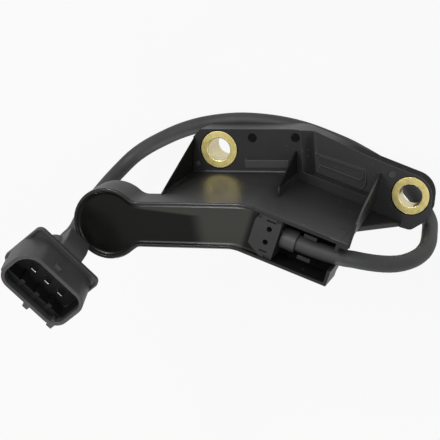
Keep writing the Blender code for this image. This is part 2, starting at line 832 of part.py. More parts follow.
def buildConnector():
    halfLong = collarLong / 2
    halfWide = collarWide / 2
    collar = plugBox((-halfLong, -halfWide), (halfLong, halfWide), 1.8)
    shell = prism("collar", collar, -collarThick, 0.0, place=plugPlace)
    shroudHalf = shroudLong / 2
    outer = plugBox((shroudShift - shroudHalf, shroudHigh), (shroudShift + shroudHalf, shroudLow), 2.8, 4.6)
    join(shell, prism("shroud", outer, -0.6, shroudDeep, place=plugPlace))
    inner = plugBox(
        (shroudShift - shroudHalf + shroudWall, shroudHigh + shroudWall),
        (shroudShift + shroudHalf - shroudWall, shroudLow - shroudWall),
        1.7,
        3.5,
    )
    cut(shell, prism("mouth", inner, floorTop, shroudDeep + 2.0, place=plugPlace))
    # Step and coding ribs along the lower inner wall, keys and locking ramp outside
    inside = shroudLow - shroudWall
    low = (shroudShift - shroudHalf + shroudWall + 1.0, inside - 1.0)
    step = rectangle(low, (shroudShift + shroudHalf - shroudWall - 1.6, inside + 0.3))
    join(shell, prism("innerStep", step, floorTop - 0.4, shroudDeep - 3.6, place=plugPlace))
    for tag, x in (("ribA", 4.8), ("ribB", -0.6), ("ribC", -5.6)):
        rib = rectangle((x - 0.6, inside - 1.6), (x + 0.6, inside + 0.5))
        join(shell, prism(tag, rib, floorTop - 0.4, shroudDeep - 2.6, place=plugPlace))
    for tag, x, reach in (("keyLeft", -1.7, 8.5), ("keyRight", -9.9, 7.9)):
        key = rectangle((x, 5.0 if x < -5.0 else 6.7), (x + 1.8, reach))
        join(shell, prism(tag, key, shroudDeep - 4.0, shroudDeep - 0.3, place=plugPlace))
    low = rectangle((-2.5, shroudHigh - 0.1), (-0.1, shroudHigh + 0.5))
    high = rectangle((-2.5, shroudHigh - 1.5), (-0.1, shroudHigh + 0.5))
    join(shell, layers("ramp", [(3.2, high), (3.9, high), (6.2, low)], place=plugPlace))
    for k in (-1, 0, 1):
        x = pinShift + pinPitch * k
        wide = pinWide / 2 + gap
        thick = pinThick / 2 + gap
        gate = rectangle((x - wide, -thick), (x + wide, thick))
        cut(shell, prism("gate", gate, -4.0, 4.0, place=plugPlace))
    finish(shell, "connector_shell", connectorSkin)
    for k in (-1, 0, 1):
        x = pinShift + pinPitch * k
        half = pinWide / 2
        thick = pinThick / 2
        base = rectangle((x - half, -thick), (x + half, thick))
        tip = rectangle((x - half + 0.5, -0.12), (x + half - 0.5, 0.12))
        levels = [(-collarThick + 0.1, base), (pinTip - 0.8, base), (pinTip, tip)]
        blade = layers("blade", levels, place=plugPlace)
        finish(blade, f"terminal_pin_{k + 2}", pinSkin)
    # Rear cap with a raised block on one side and a seal round the cable
    capFront = -collarThick - gap
    capBack = capFront - capDeep + 1.4
    long = capLong / 2
    wide = capWide / 2
    full = plugBox((-long, -wide), (long, wide), 3.6)
    small = plugBox((0.7 - long, 0.7 - wide), (long - 0.7, wide - 0.7), 2.9)
    levels = [(capBack, small), (capBack + 0.7, full), (capFront, full)]
    cap = layers("cap", levels, place=plugPlace)
    block = plugBox((-4.0, -7.3), (1.8, -4.0), 0.4)
    join(cap, prism("capBlock", block, capBack + 0.4, capFront, place=plugPlace))
    bore = [(sealRadius + gap, capBack - 2.0), (sealRadius + gap, capFront - 2.0)]
    cut(cap, turned("capBore", (0, 0), bore, 32, place=plugPlace))
    finish(cap, "rear_cap", connectorSkin)
    back = capBack - 3.0
    ring = [
        (sealRadius - 0.9, back),
        (sealRadius - 0.5, back + 0.4),
        (sealRadius - 0.5, back + 1.2),
        (sealRadius - 0.9, back + 1.5),
        (sealRadius - 0.5, back + 1.8),
        (sealRadius - 0.5, back + 2.6),
        (sealRadius, capBack + 0.2),
        (sealRadius, capBack + 3.0),
        (sealRadius - 0.4, capBack + 3.4),
    ]
    seal = turned("seal", (0, 0), ring, 32, place=plugPlace)
    bore = [(cableRadius + gap, back - 1.0), (cableRadius + gap, 0.0)]
    cut(seal, turned("sealBore", (0, 0), bore, 28, place=plugPlace))
    finish(seal, "cable_seal", rubberSkin)


buildHousing()
buildBushings()
buildPotting()
buildCarrier()
buildSensorStack()
buildCable()
buildConnector()
bpy.context.view_layer.update()
for thing in sorted(partGroup.objects, key=lambda t: t.name):
    print(thing.name, len(thing.data.polygons))
print("total", sum(len(t.data.polygons) for t in partGroup.objects))
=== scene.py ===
import json
import math

import bpy
from mathutils import Matrix, Vector
from mathutils.geometry import interpolate_bezier

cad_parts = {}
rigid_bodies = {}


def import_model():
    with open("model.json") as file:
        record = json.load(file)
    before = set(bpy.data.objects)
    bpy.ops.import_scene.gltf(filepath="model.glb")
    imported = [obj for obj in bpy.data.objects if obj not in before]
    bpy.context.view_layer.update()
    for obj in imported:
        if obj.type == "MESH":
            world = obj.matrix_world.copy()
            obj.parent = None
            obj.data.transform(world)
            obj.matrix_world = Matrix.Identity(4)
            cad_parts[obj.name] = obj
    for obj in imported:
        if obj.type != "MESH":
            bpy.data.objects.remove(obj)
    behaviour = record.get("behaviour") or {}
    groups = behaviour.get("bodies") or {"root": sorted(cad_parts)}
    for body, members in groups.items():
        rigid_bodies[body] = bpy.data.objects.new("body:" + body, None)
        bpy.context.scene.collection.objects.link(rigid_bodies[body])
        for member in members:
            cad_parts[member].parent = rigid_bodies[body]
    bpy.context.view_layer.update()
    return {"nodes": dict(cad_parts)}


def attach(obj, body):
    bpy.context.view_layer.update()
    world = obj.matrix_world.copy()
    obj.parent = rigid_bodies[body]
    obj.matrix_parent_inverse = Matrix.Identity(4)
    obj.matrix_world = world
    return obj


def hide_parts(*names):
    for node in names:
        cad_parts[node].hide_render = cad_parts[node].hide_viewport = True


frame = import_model()
mm = 0.001
slant = math.radians(21.0)  # the cable box turns off the arm by this angle
bolts = {"left": (-26.68, 6.86), "right": (26.68, -6.86)}
print("frame loaded:", len(frame["nodes"]), "nodes")


# Small helpers that every piece uses
def setMode(kind):
    bpy.ops.object.mode_set(mode=kind)


def clearSelection():
    if bpy.context.mode != "OBJECT":
        setMode("OBJECT")
    bpy.ops.object.select_all(action="DESELECT")


def pick(thing):
    clearSelection()
    thing.select_set(True)
    bpy.context.view_layer.objects.active = thing


def boxPoint(u, v):
    # point given along and across the cable box
    return (u * math.cos(slant) + v * math.sin(slant), v * math.cos(slant) - u * math.sin(slant))


def rectangle(low, high):
    return [low, (high[0], low[1]), high, (low[0], high[1])]


def boxRectangle(low, high):
    return [boxPoint(u, v) for u, v in rectangle(low, high)]


def lineMeet(level, across):
    # where a line along the arm meets one along the box
    return ((across - level * math.cos(slant)) / math.sin(slant), level)


def rounded(points, step=12.0):
    # corners (x, y, radius) become a loop with arcs
    loop = []
    for i, point in enumerate(points):
        here = Vector(point[:2])
        radius = point[2] if len(point) > 2 else 0.0
        if radius <= 0.0:
            loop.append((here.x, here.y))
            continue
        before = (Vector(points[i - 1][:2]) - here).normalized()
        after = (Vector(points[(i + 1) % len(points)][:2]) - here).normalized()
        half = before.angle(after) / 2
        centre = here + (before + after).normalized() * (radius / math.sin(half))
        first = here + before * (radius / math.tan(half)) - centre
        last = here + after * (radius / math.tan(half)) - centre
        sweep = math.atan2(first.x * last.y - first.y * last.x, first.dot(last))
        steps = max(2, int(abs(math.degrees(sweep)) / step + 0.5))
        for k in range(steps + 1):
            spot = centre + Matrix.Rotation(sweep * k / steps, 2) @ first
            loop.append((spot.x, spot.y))
    return loop


def arcPoints(centre, radius, first, last, steps):
    loop = []
    for k in range(steps + 1):
        angle = first + (last - first) * k / steps
        loop.append((centre[0] + radius * math.cos(angle), centre[1] + radius * math.sin(angle)))
    return loop


def drawOutline(points, height):
    # in edit mode: one vertex, pulled along the outline corner by corner
    corners = [Vector((x, y, height)) * mm for x, y in points]
    bpy.ops.mesh.primitive_plane_add(size=mm, location=corners[0])
    bpy.ops.mesh.merge(type="CENTER")
    for here, there in zip(corners, corners[1:] + corners[:1]):
        bpy.ops.mesh.extrude_region_move(TRANSFORM_OT_translate={"value": there - here})
    bpy.ops.mesh.select_linked()
    bpy.ops.mesh.remove_doubles(threshold=0.000004)


def selectLevel(thing, *levels):
    bpy.ops.mesh.select_all(action="DESELECT")
    setMode("OBJECT")
    for vert in thing.data.vertices:
        z = (thing.matrix_world @ vert.co).z
        vert.select = any(abs(z - level * mm) < 0.000005 for level in levels)
    setMode("EDIT")


def drawSolid(name, levels, place=None):
    # outlines at rising heights, bridged into a closed solid
    clearSelection()
    bpy.ops.mesh.primitive_plane_add(size=mm, location=(0, 0, 0))
    thing = bpy.context.object
    thing.name = name
    thing.data.name = name
    setMode("EDIT")
    bpy.ops.mesh.select_mode(type="VERT")
    bpy.ops.mesh.select_all(action="SELECT")
    bpy.ops.mesh.delete(type="VERT")
    for height, points in levels:
        drawOutline(points, height)
    heights = [height for height, points in levels]
    for low, high in zip(heights, heights[1:]):
        selectLevel(thing, low, high)
        bpy.ops.mesh.bridge_edge_loops()
    for end in (heights[0], heights[-1]):
        selectLevel(thing, end)
        bpy.ops.mesh.edge_face_add()
    bpy.ops.mesh.select_all(action="SELECT")
    bpy.ops.mesh.normals_make_consistent(inside=False)
    setMode("OBJECT")
    return moveTo(thing, place) if place else settle(thing)


def drawPlate(name, points, low, high, place=None):
    return drawSolid(name, [(low, points), (high, points)], place)


def settle(thing):
    pick(thing)
    bpy.ops.object.transform_apply(location=True, rotation=True, scale=True)
    return thing


def moveTo(thing, place):
    thing.matrix_world = place
    return settle(thing)


def placeAt(origin, right, up, back):
    turn = Matrix((right, up, back)).transposed().to_4x4()
    return Matrix.Translation(Vector(origin) * mm) @ turn


def frameOf(origin, along, up):
    along = Vector(along).normalized()
    up = Vector(up).normalized()
    return placeAt(origin, along, up, along.cross(up))


def selectParts(thing, kind, wanted):
    # leaves the mesh in edit mode with only the wanted faces or edges selected
    pick(thing)
    setMode("EDIT")
    bpy.ops.mesh.select_mode(type=kind)
    bpy.ops.mesh.select_all(action="DESELECT")
    setMode("OBJECT")
    for part in thing.data.polygons if kind == "FACE" else thing.data.edges:
        part.select = wanted(part)
    setMode("EDIT")


def applyStep(thing, step):
    pick(thing)
    bpy.ops.object.modifier_apply(modifier=step.name)


def bevelEdges(thing, width, segments=2, angle=38.0):
    step = thing.modifiers.new("bevel", "BEVEL")
    step.width = width * mm
    step.segments = segments
    step.limit_method = "ANGLE"
    step.angle_limit = math.radians(angle)
    applyStep(thing, step)


def combine(thing, other, kind):
    step = thing.modifiers.new("boolean", "BOOLEAN")
    step.operation = kind
    step.solver = "EXACT"
    step.object = other
    applyStep(thing, step)
    bpy.data.objects.remove(other, do_unlink=True)


def join(thing, *others):
    for other in others:
        combine(thing, other, "UNION")


def cut(thing, *others):
    for other in others:
        combine(thing, other, "DIFFERENCE")


def addRod(name, spot, radius, low, high, sides=48):
    # cylinder primitive that a cut or a boss is made from
    clearSelection()
    bpy.ops.mesh.primitive_cylinder_add(
        vertices=sides,
        radius=radius * mm,
        depth=(high - low) * mm,
        location=Vector((spot[0], spot[1], (low + high) / 2)) * mm,
    )
    thing = bpy.context.object
    thing.name = name
    return settle(thing)


def smooth(thing, angle=32.0):
    pick(thing)
    bpy.ops.object.shade_smooth_by_angle(angle=math.radians(angle))
    step = thing.modifiers.new("normals", "WEIGHTED_NORMAL")  # large faces stay flat
    step.keep_sharp = True
    applyStep(thing, step)


def dress(thing, skin, node, angle=32.0):
    smooth(thing, angle)
    thing.data.materials.clear()
    thing.data.materials.append(skin)
    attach(thing, "root")
    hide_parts(node)
    return thing


# Camera at the photograph's viewing angle
cameraSettings = {
    "place": (114.22, 95.83, 411.71),
    "right": (0.94627, -0.06298, -0.31717),
    "up": (-0.02147, 0.96645, -0.25597),
    "back": (0.32265, 0.24903, 0.91317),
    "lens": 36.0 * 1541.0 / 440.0,
}


def makeCamera():
    data = bpy.data.cameras.new("camera")
    data.sensor_width = 36.0
    data.lens = cameraSettings["lens"]
    data.clip_start = 0.01
    data.clip_end = 20.0
    camera = bpy.data.objects.new("camera", data)
    bpy.context.scene.collection.objects.link(camera)
    sides = [Vector(cameraSettings[key]).normalized() for key in ("right", "up", "back")]
    camera.matrix_world = placeAt(cameraSettings["place"], *sides)
    bpy.context.scene.camera = camera


makeCamera()

# Connector's own frame: out of its mouth, along it and across it
plugSettings = {
    "origin": (-60.5, -16.6, 54.6),
    "out": (0.17, -0.25, 0.953),
    "along": (-0.575, 0.768, 0.28),
}
plugOut = Vector(plugSettings["out"]).normalized()
plugAcross = plugOut.cross(Vector(plugSettings["along"])).normalized()
plugAlong = plugAcross.cross(plugOut).normalized()
plugPlace = placeAt(plugSettings["origin"], plugAlong, plugAcross, plugOut)

# Materials, all procedural on Object coordinates
toneRange = (0.86, 1.16)  # darkest and lightest patch of a plastic
noiseRange = (0.3, 0.7)  # what a noise mostly spans
plasticSettings = {
    "housing": {"colour": (0.019, 0.019, 0.0195), "rough": (0.345, 0.395), "grain": 0.05, "scale": 2600.0},
    "connector": {"colour": (0.048, 0.048, 0.0488), "rough": (0.4, 0.48), "grain": 0.12, "scale": 3200.0},
    "carrier": {"colour": (0.0165, 0.0165, 0.0163), "rough": (0.56, 0.64), "grain": 0.16, "scale": 3800.0},
    "jacket": {"colour": (0.037, 0.037, 0.0375), "rough": (0.54, 0.62), "grain": 0.1, "scale": 2400.0},
    "rubber": {"colour": (0.028, 0.028, 0.028), "rough": (0.59, 0.65), "grain": 0.14, "scale": 3000.0},
    "chip": {"colour": (0.016, 0.016, 0.016), "rough": (0.475, 0.525), "grain": 0.1, "scale": 4000.0},
    "ceramic": {"colour": (0.45, 0.33, 0.22), "rough": (0.45, 0.55), "grain": 0.08, "scale": 4000.0},
}
metalSettings = {
    "tin": {"colour": (0.86, 0.86, 0.85), "rough": (0.18, 0.3), "scale": 2600.0},
    "copper": {"colour": (0.68, 0.63, 0.58), "rough": (0.225, 0.375), "scale": 2600.0},
    "steel": {"colour": (0.52, 0.52, 0.52), "rough": (0.275, 0.425), "scale": 2000.0},
    "magnet": {"colour": (0.26, 0.26, 0.27), "rough": (0.37, 0.47), "scale": 2400.0},
}

# directions along which a mask can rise or fall
axes = {
    "x": (1.0, 0.0, 0.0),
    "y": (0.0, 1.0, 0.0),
    "z": (0.0, 0.0, 1.0),
    "boxAlong": (math.cos(slant), -math.sin(slant), 0.0),
    "boxAcross": (math.sin(slant), math.cos(slant), 0.0),
    "resinAlong": (1.0, 0.12, 0.0),
    "resinAcross": (0.1054, 0.9944, 0.0),
    "plugOut": plugOut,
    "plugAlong": plugAlong,
    "plugAcross": plugAcross,
    "plugRising": (plugAcross + plugAlong).normalized(),
    "plugFalling": (plugAcross - plugAlong).normalized(),
}


def newMaterial(name):
    made = bpy.data.materials.new(name)
    made.use_nodes = True
    tree = made.node_tree
    return made, tree, tree.nodes["Principled BSDF"]


def setInputs(node, inputs):
    # each input gets a value or another node's output
    for key, value in inputs.items():
        if isinstance(value, bpy.types.NodeSocket):
            node.id_data.links.new(value, node.inputs[key])
        else:
            node.inputs[key].default_value = value


def addNode(tree, kind, inputs, **values):
    node = tree.nodes.new(kind)
    for key, value in values.items():
        setattr(node, key, value)
    setInputs(node, inputs)
    return node


def coordinates(tree, centre=(0.0, 0.0, 0.0)):
    source = addNode(tree, "ShaderNodeTexCoord", {}).outputs["Object"]
    shift = [-value * mm for value in centre]
    return addNode(tree, "ShaderNodeMapping", {"Vector": source, "Location": shift}).outputs["Vector"]


def mathOf(tree, kind, *values):
    return addNode(tree, "ShaderNodeMath", dict(enumerate(values)), operation=kind).outputs["Value"]


def noiseOf(tree, vector, scale, detail=3.0, rough=0.55):
    inputs = {"Vector": vector, "Scale": scale, "Detail": detail, "Roughness": rough}
    return addNode(tree, "ShaderNodeTexNoise", inputs).outputs["Fac"]


def spanOf(tree, value, start, end, low=0.0, high=1.0, **values):
    # brings the range from start to end to the range from low to high
    inputs = {"Value": value, "From Min": start, "From Max": end, "To Min": low, "To Max": high}
    return addNode(tree, "ShaderNodeMapRange", inputs, **values).outputs["Result"]


def varied(tree, vector, scale, low, high, detail=3.0):
    # noise brought to a range of values
    return spanOf(tree, noiseOf(tree, vector, scale, detail), *noiseRange, low, high)


def bumpOf(tree, height, strength, distance):
    inputs = {"Height": height, "Strength": strength, "Distance": distance * mm}
    return addNode(tree, "ShaderNodeBump", inputs).outputs["Normal"]


def colourBetween(tree, factor, dark, light):
    ramp = addNode(tree, "ShaderNodeValToRGB", {"Fac": factor})
    ramp.color_ramp.elements[0].color = (*dark, 1.0)
    ramp.color_ramp.elements[1].color = (*light, 1.0)
    return ramp.outputs["Color"]


def tinted(tree, colour, mask, tone):
    inputs = {"Fac": mask, "Color1": colour, "Color2": (*tone, 1.0)}
    return addNode(tree, "ShaderNodeMixRGB", inputs).outputs["Color"]


def rampAlong(tree, vector, axis, zero, one):
    # 0 at the first distance along an axis, 1 at the second
    along = addNode(tree, "ShaderNodeVectorMath", {0: vector, 1: axes[axis]}, operation="DOT_PRODUCT")
    return spanOf(tree, along.outputs["Value"], zero * mm, one * mm, interpolation_type="SMOOTHSTEP")


def maskWithin(tree, vector, limits):
    # 1 where all limits hold
    mask = rampAlong(tree, vector, *limits[0])
    for limit in limits[1:]:
        mask = mathOf(tree, "MULTIPLY", mask, rampAlong(tree, vector, *limit))
    return mask


def unionOf(tree, *masks):
    union = masks[0]
    for mask in masks[1:]:
        union = mathOf(tree, "MAXIMUM", union, mask)
    return union


def spotMask(tree, vector, x, y, radius, soft=0.2):
    # 1 inside a round mark seen from above, with a soft edge
    flat = addNode(tree, "ShaderNodeVectorMath", {0: vector, 1: (1.0, 1.0, 0.0)}, operation="MULTIPLY")
    inputs = {0: flat.outputs["Vector"], 1: (x * mm, y * mm, 0.0)}
    away = addNode(tree, "ShaderNodeVectorMath", inputs, operation="DISTANCE")
    return spanOf(tree, away.outputs["Value"], radius * mm, (radius - soft) * mm)


def plasticMaterial(kind):
    look = plasticSettings[kind]
    made, tree, shader = newMaterial(kind + "Plastic")
    vector = coordinates(tree)
    dark, light = ([value * tone for value in look["colour"]] for tone in toneRange)
    grain = noiseOf(tree, vector, look["scale"], 2.0, 0.5)
    setInputs(shader, {
        "Base Color": colourBetween(tree, varied(tree, vector, 110.0, 0.0, 1.0, 2.0), dark, light),
        "Roughness": varied(tree, vector, look["scale"] * 0.06, *look["rough"]),
        "Normal": bumpOf(tree, grain, look["grain"], 0.05),
    })
    return made


def metalMaterial(kind):
    look = metalSettings[kind]
    made, tree, shader = newMaterial(kind + "Metal")
    vector = coordinates(tree)
    dark = [value * 0.88 for value in look["colour"]]
    fine = noiseOf(tree, vector, look["scale"] * 0.1)
    setInputs(shader, {
        "Metallic": 1.0,
        "Base Color": colourBetween(tree, varied(tree, vector, 300.0, 0.0, 1.0, 2.0), dark, look["colour"]),
        "Roughness": spanOf(tree, fine, *noiseRange, *look["rough"]),
        "Normal": bumpOf(tree, fine, 0.06, 0.03),
    })
    return made


brassSettings = {
    "pale": (1.0, 0.85, 0.38),
    "deep": (0.86, 0.72, 0.26),
    "rough": (0.34, 0.52),
    "bore": (0.95, 0.84, 0.5),
    "boreEdge": 3.45,
    "boreRough": -0.2,  # added to the roughness
    "grooves": 5200.0,
}


def brassMaterial(name, centre):
    # turned brass: faint rings round the bore's own axis, the bore itself paler and smoother
    look = brassSettings
    made, tree, shader = newMaterial(name)
    vector = coordinates(tree, centre)
    rings = {"Vector": vector, "Scale": look["grooves"], "Distortion": 0.6, "Detail": 2.0}
    rings = addNode(tree, "ShaderNodeTexWave", rings, wave_type="RINGS", rings_direction="Z")
    turned = colourBetween(tree, varied(tree, vector, 420.0, 0.0, 1.0), look["deep"], look["pale"])
    rough = varied(tree, vector, 700.0, *look["rough"])
    bore = spotMask(tree, vector, 0.0, 0.0, look["boreEdge"])
    setInputs(shader, {
        "Metallic": 1.0,
        "Base Color": tinted(tree, turned, bore, look["bore"]),
        "Roughness": mathOf(tree, "MULTIPLY_ADD", bore, look["boreRough"], rough),
        "Normal": bumpOf(tree, rings.outputs["Fac"], 0.12, 0.03),
    })
    return made


resinSettings = {
    "pot": (0.0052, 0.0052, 0.0043),
    # paler colour of the painted reflection
    "arm": (0.04, 0.0402, 0.0345),
    "rough": (0.17, 0.24),
    "gloss": 0.22,
    # where the painted reflection lies, and next to the terminal plate the painted shade that takes it away
    "reflectionTop": (("resinAcross", -6.5, -5.7), ("x", -41.5, -37.0)),
    "reflectionEnd": ("resinAlong", -25.6, -20.6),
    "plateShade": ("boxAlong", -4.7, -6.6),
}


def resinMaterial():
    # cast resin: dark over the pot and the deep part of the arm, with a painted reflection that makes it
    # paler along the top and towards the end of the arm, taken away again as painted shade next to the
    # terminal plate
    look = resinSettings
    made, tree, shader = newMaterial("castResin")
    vector = coordinates(tree)
    # painted reflection, taken away next to the terminal plate as painted shade
    pale = maskWithin(tree, vector, look["reflectionTop"])
    pale = unionOf(tree, pale, rampAlong(tree, vector, *look["reflectionEnd"]))
    pale = mathOf(tree, "MULTIPLY", pale, rampAlong(tree, vector, *look["plateShade"]))
    fine = noiseOf(tree, vector, 160.0)
    setInputs(shader, {
        "Specular IOR Level": look["gloss"],
        "Base Color": colourBetween(tree, pale, look["pot"], look["arm"]),
        "Roughness": spanOf(tree, fine, *noiseRange, *look["rough"]),
        "Normal": bumpOf(tree, fine, 0.04, 0.2),
    })
    return made


# Marks on the housing, several of them painted shade and painted light: limits where a mask is 0 and 1, and
# spots as x, y and radius
mouldMarks = {
    # gussets, in painted shade
    "finLeft": (("x", -31.6, -32.4),),
    "finMiddle": (("x", -3.1, -3.3), ("x", -4.6, -4.4)),
    "finReach": (("z", 10.1, 10.5), ("z", 34.0, 33.5), ("y", 0.4, 0.9)),
    # hollow of the box in painted shade; the jaws are left out of it
    "box": (
        ("boxAlong", 1.0, 2.0), ("boxAlong", 17.9, 17.6), ("boxAcross", -16.0, -15.5),
        ("boxAcross", -3.8, -4.1), ("z", 34.9, 35.15), ("z", 43.7, 43.2),
    ),
    "jaws": (
        ("boxAlong", 8.5, 8.6), ("boxAlong", 12.7, 12.6), ("boxAcross", -14.6, -14.5),
        ("z", 40.5, 40.6), ("z", 41.0, 40.9),
    ),
    "ear": (("z", 5.2, 5.0), ("x", 2.0, 16.0)),
    # painted light on the low face, and a painted highlight on the top of its raised beads
    "face": (("z", 5.2, 5.3), ("z", 5.8, 5.7)),
    "lineHighlight": ("z", 5.48, 5.56),
    "bar": (
        ("x", -19.5, -19.3), ("x", -6.0, -6.2), ("y", 1.3, 1.5), ("y", 4.3, 4.1),
        ("z", 10.1, 10.2), ("z", 10.4, 10.3),
    ),
    "rim": ("z", 43.1, 43.4),
    # ejector marks of the thick bay, in painted shadow
    "shadowSpots": ((-16.6, 10.2, 1.35), (-4.1, 10.3, 1.35)),
    "paleSpots": ((21.7, -0.9, 1.2), (-33.2, 2.8, 0.9)),
    "speckScale": 1300.0,
    "speckCut": (0.82, 0.85),
}
markTones = {
    # painted light
    "face": (0.03, 0.03, 0.0308),
    # painted highlight, also laid on the bar
    "lineHighlight": (0.042, 0.042, 0.043),
    # painted shade
    "dark": (0.004, 0.004, 0.0042),
    "pale": (0.055, 0.055, 0.056),
    "speck": (0.09, 0.09, 0.089),
    "mouth": (0.006, 0.006, 0.0062),
    "gloss": 0.32,
    "darkGloss": -0.16,  # added where it is dark
    "darkRough": 0.5,  # the same
    "rimRough": -0.2,  # added on the rim
}


def markHousing(made):
    marks = mouldMarks
    tones = markTones
    tree = made.node_tree
    shader = tree.nodes["Principled BSDF"]
    vector = coordinates(tree)
    # painted shade: the gussets, the hollow of the box without its jaws, and the ejector marks of the thick
    # bay are coloured dark where shadow falls on them
    finShade = unionOf(tree, *(maskWithin(tree, vector, marks[key]) for key in ("finLeft", "finMiddle")))
    finShade = mathOf(tree, "MULTIPLY", finShade, maskWithin(tree, vector, marks["finReach"]))
    box = maskWithin(tree, vector, marks["box"])
    box = mathOf(tree, "SUBTRACT", box, maskWithin(tree, vector, marks["jaws"]))
    dark = unionOf(tree, finShade, box, *(spotMask(tree, vector, *spot) for spot in marks["shadowSpots"]))
    pale = unionOf(tree, *(spotMask(tree, vector, *spot) for spot in marks["paleSpots"]))
    # painted light: the low face a little paler to stand in for more light, a painted highlight on the
    # raised beads of its panel, and the bar paler still
    face = maskWithin(tree, vector, marks["face"])
    lineHighlight = mathOf(tree, "MULTIPLY", face, rampAlong(tree, vector, *marks["lineHighlight"]))
    lineHighlight = unionOf(tree, lineHighlight, maskWithin(tree, vector, marks["bar"]))
    speck = spanOf(tree, noiseOf(tree, vector, marks["speckScale"], 0.0, 0.5), *marks["speckCut"])
    colour = shader.inputs["Base Color"].links[0].from_socket
    for mask, tone in ((face, "face"), (lineHighlight, "lineHighlight"), (dark, "dark"), (pale, "pale"), (speck, "speck")):
        colour = tinted(tree, colour, mask, tones[tone])
    # the side of the ear mirrors little, like the parts in painted shade
    dark = unionOf(tree, dark, maskWithin(tree, vector, marks["ear"]))
    rough = shader.inputs["Roughness"].links[0].from_socket
    rough = mathOf(tree, "MULTIPLY_ADD", dark, tones["darkRough"], rough)
    rim = rampAlong(tree, vector, *marks["rim"])
    setInputs(shader, {
        "Base Color": colour,
        "Roughness": mathOf(tree, "MULTIPLY_ADD", rim, tones["rimRough"], rough),
        "Specular IOR Level": mathOf(tree, "MULTIPLY_ADD", dark, tones["darkGloss"], tones["gloss"]),
    })


mouthLimits = (
    ("plugOut", 1.0, 1.2), ("plugOut", 8.4, 6.4), ("plugAlong", -10.6, -10.15), ("plugAlong", 10.8, 10.35),
    ("plugAcross", -5.5, -5.1), ("plugAcross", 6.6, 6.2), ("plugRising", -10.0, -9.5),
    ("plugRising", 10.85, 10.35), ("plugFalling", -9.5, -9.0), ("plugFalling", 10.8, 10.3),
)


def shadeMouth(made):
    # the inside of the shroud takes little light
    tree = made.node_tree
    shader = tree.nodes["Principled BSDF"]
    inside = maskWithin(tree, coordinates(tree, plugSettings["origin"]), mouthLimits)
    colour = shader.inputs["Base Color"].links[0].from_socket
    setInputs(shader, {"Base Color": tinted(tree, colour, inside, markTones["mouth"])})


skins = {kind: plasticMaterial(kind) for kind in plasticSettings}
markHousing(skins["housing"])
skins.update({kind: metalMaterial(kind) for kind in metalSettings})
for side, spot in bolts.items():
    skins[side] = brassMaterial("turnedBrass" + side.title(), (*spot, 0.0))
skins["resin"] = resinMaterial()
skins["shell"] = plasticMaterial("connector")
shadeMouth(skins["shell"])
print("materials made:", len(skins))

# Cable: the route's points in mm, from the box to the connector
cableSettings = {
    "radius": 2.25,
    "spacing": 2.2,
    "start": (5.2, -9.35, 39.2),
    "end": (-13.8, -6.6),  # straight run into the cap
    "points": (
        (7.9, -13.0, 39.2), (15.2, -15.1, 39.2), (17.7, -15.6, 38.6), (20.7, -16.6, 37.2),
        (23.5, -17.6, 35.2), (26.1, -18.5, 32.6), (28.3, -19.2, 29.4), (30.0, -19.5, 26.0),
        (31.3, -19.6, 22.4), (32.1, -19.5, 18.6), (32.5, -19.1, 14.8), (32.4, -18.6, 10.9),
        (31.9, -18.2, 6.9), (31.2, -17.9, 2.8), (30.5, -17.6, -1.4), (29.6, -17.0, -5.4),
        (28.1, -15.8, -8.9), (26.1, -13.7, -11.5), (23.8, -11.0, -12.8), (21.4, -8.0, -12.7),
        (19.0, -5.1, -11.4), (16.5, -2.4, -9.4), (13.7, 0.2, -7.2), (10.7, 2.6, -5.3),
        (7.5, 4.8, -4.0), (1.6, 7.6, -3.1), (-4.6, 9.9, -3.0), (-11.1, 11.5, -3.0),
        (-17.7, 12.4, -3.0), (-24.3, 12.7, -3.0), (-31.0, 12.2, -3.0), (-37.5, 11.0, -3.4),
        (-44.1, 8.9, -4.4), (-50.7, 6.0, -5.8), (-55.4, 3.6, -6.4), (-59.6, 0.8, -5.9),
        (-62.7, -2.2, -3.7), (-64.8, -4.8, 0.2), (-65.6, -6.7, 5.4), (-65.6, -8.1, 11.6),
        (-65.0, -9.4, 18.4), (-64.0, -10.6, 25.4), (-62.9, -11.9, 32.4),
    ),
}


def smoothRoute(spots, spacing):
    # evenly spaced points on a smooth curve through the given ones
    dense = []
    for i in range(len(spots) - 1):
        before = spots[max(i - 1, 0)]
        here = spots[i]
        after = spots[i + 1]
        beyond = spots[min(i + 2, len(spots) - 1)]
        span = (after - here).length
        leave = (after - before) / ((after - here).length + (here - before).length) * span
        reach = (beyond - here) / ((beyond - after).length + (after - here).length) * span
        dense += interpolate_bezier(here, here + leave / 3, after - reach / 3, after, 25)[:-1]
    dense.append(spots[-1])
    total = sum((b - a).length for a, b in zip(dense, dense[1:]))
    count = int(total / spacing + 0.5)
    out = [dense[0]]
    walked = 0.0
    mark = total / count
    for a, b in zip(dense, dense[1:]):
        step = (b - a).length
        while walked + step >= mark - 1e-9 and len(out) < count:
            out.append(a.lerp(b, (mark - walked) / step))
            mark += total / count
        walked += step
    out.append(dense[-1])
    return out, total


def makeCable():
    look = cableSettings
    start = Vector((*boxPoint(*look["start"][:2]), look["start"][2])) * mm
    route = [start] + [Vector(point) * mm for point in look["points"]]
    route += [(Vector(plugSettings["origin"]) + plugOut * out) * mm for out in look["end"]]
    points, total = smoothRoute(route, look["spacing"] * mm)
    curve = bpy.data.curves.new("cable_jacket", "CURVE")
    curve.dimensions = "3D"
    curve.bevel_depth = look["radius"] * mm
    curve.bevel_resolution = 6
    curve.use_fill_caps = True
    line = curve.splines.new("POLY")
    line.points.add(len(points) - 1)
    for spot, point in zip(line.points, points):
        spot.co = (*point, 1.0)
    line.use_smooth = True
    cable = bpy.data.objects.new("cable_jacket", curve)
    bpy.context.scene.collection.objects.link(cable)
    curve.materials.append(skins["jacket"])
    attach(cable, "root")
    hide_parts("cable")
    return cable, start, total


cable, cableStart, cableLength = makeCable()
print("cable length in mm:", round(cableLength / mm, 1))

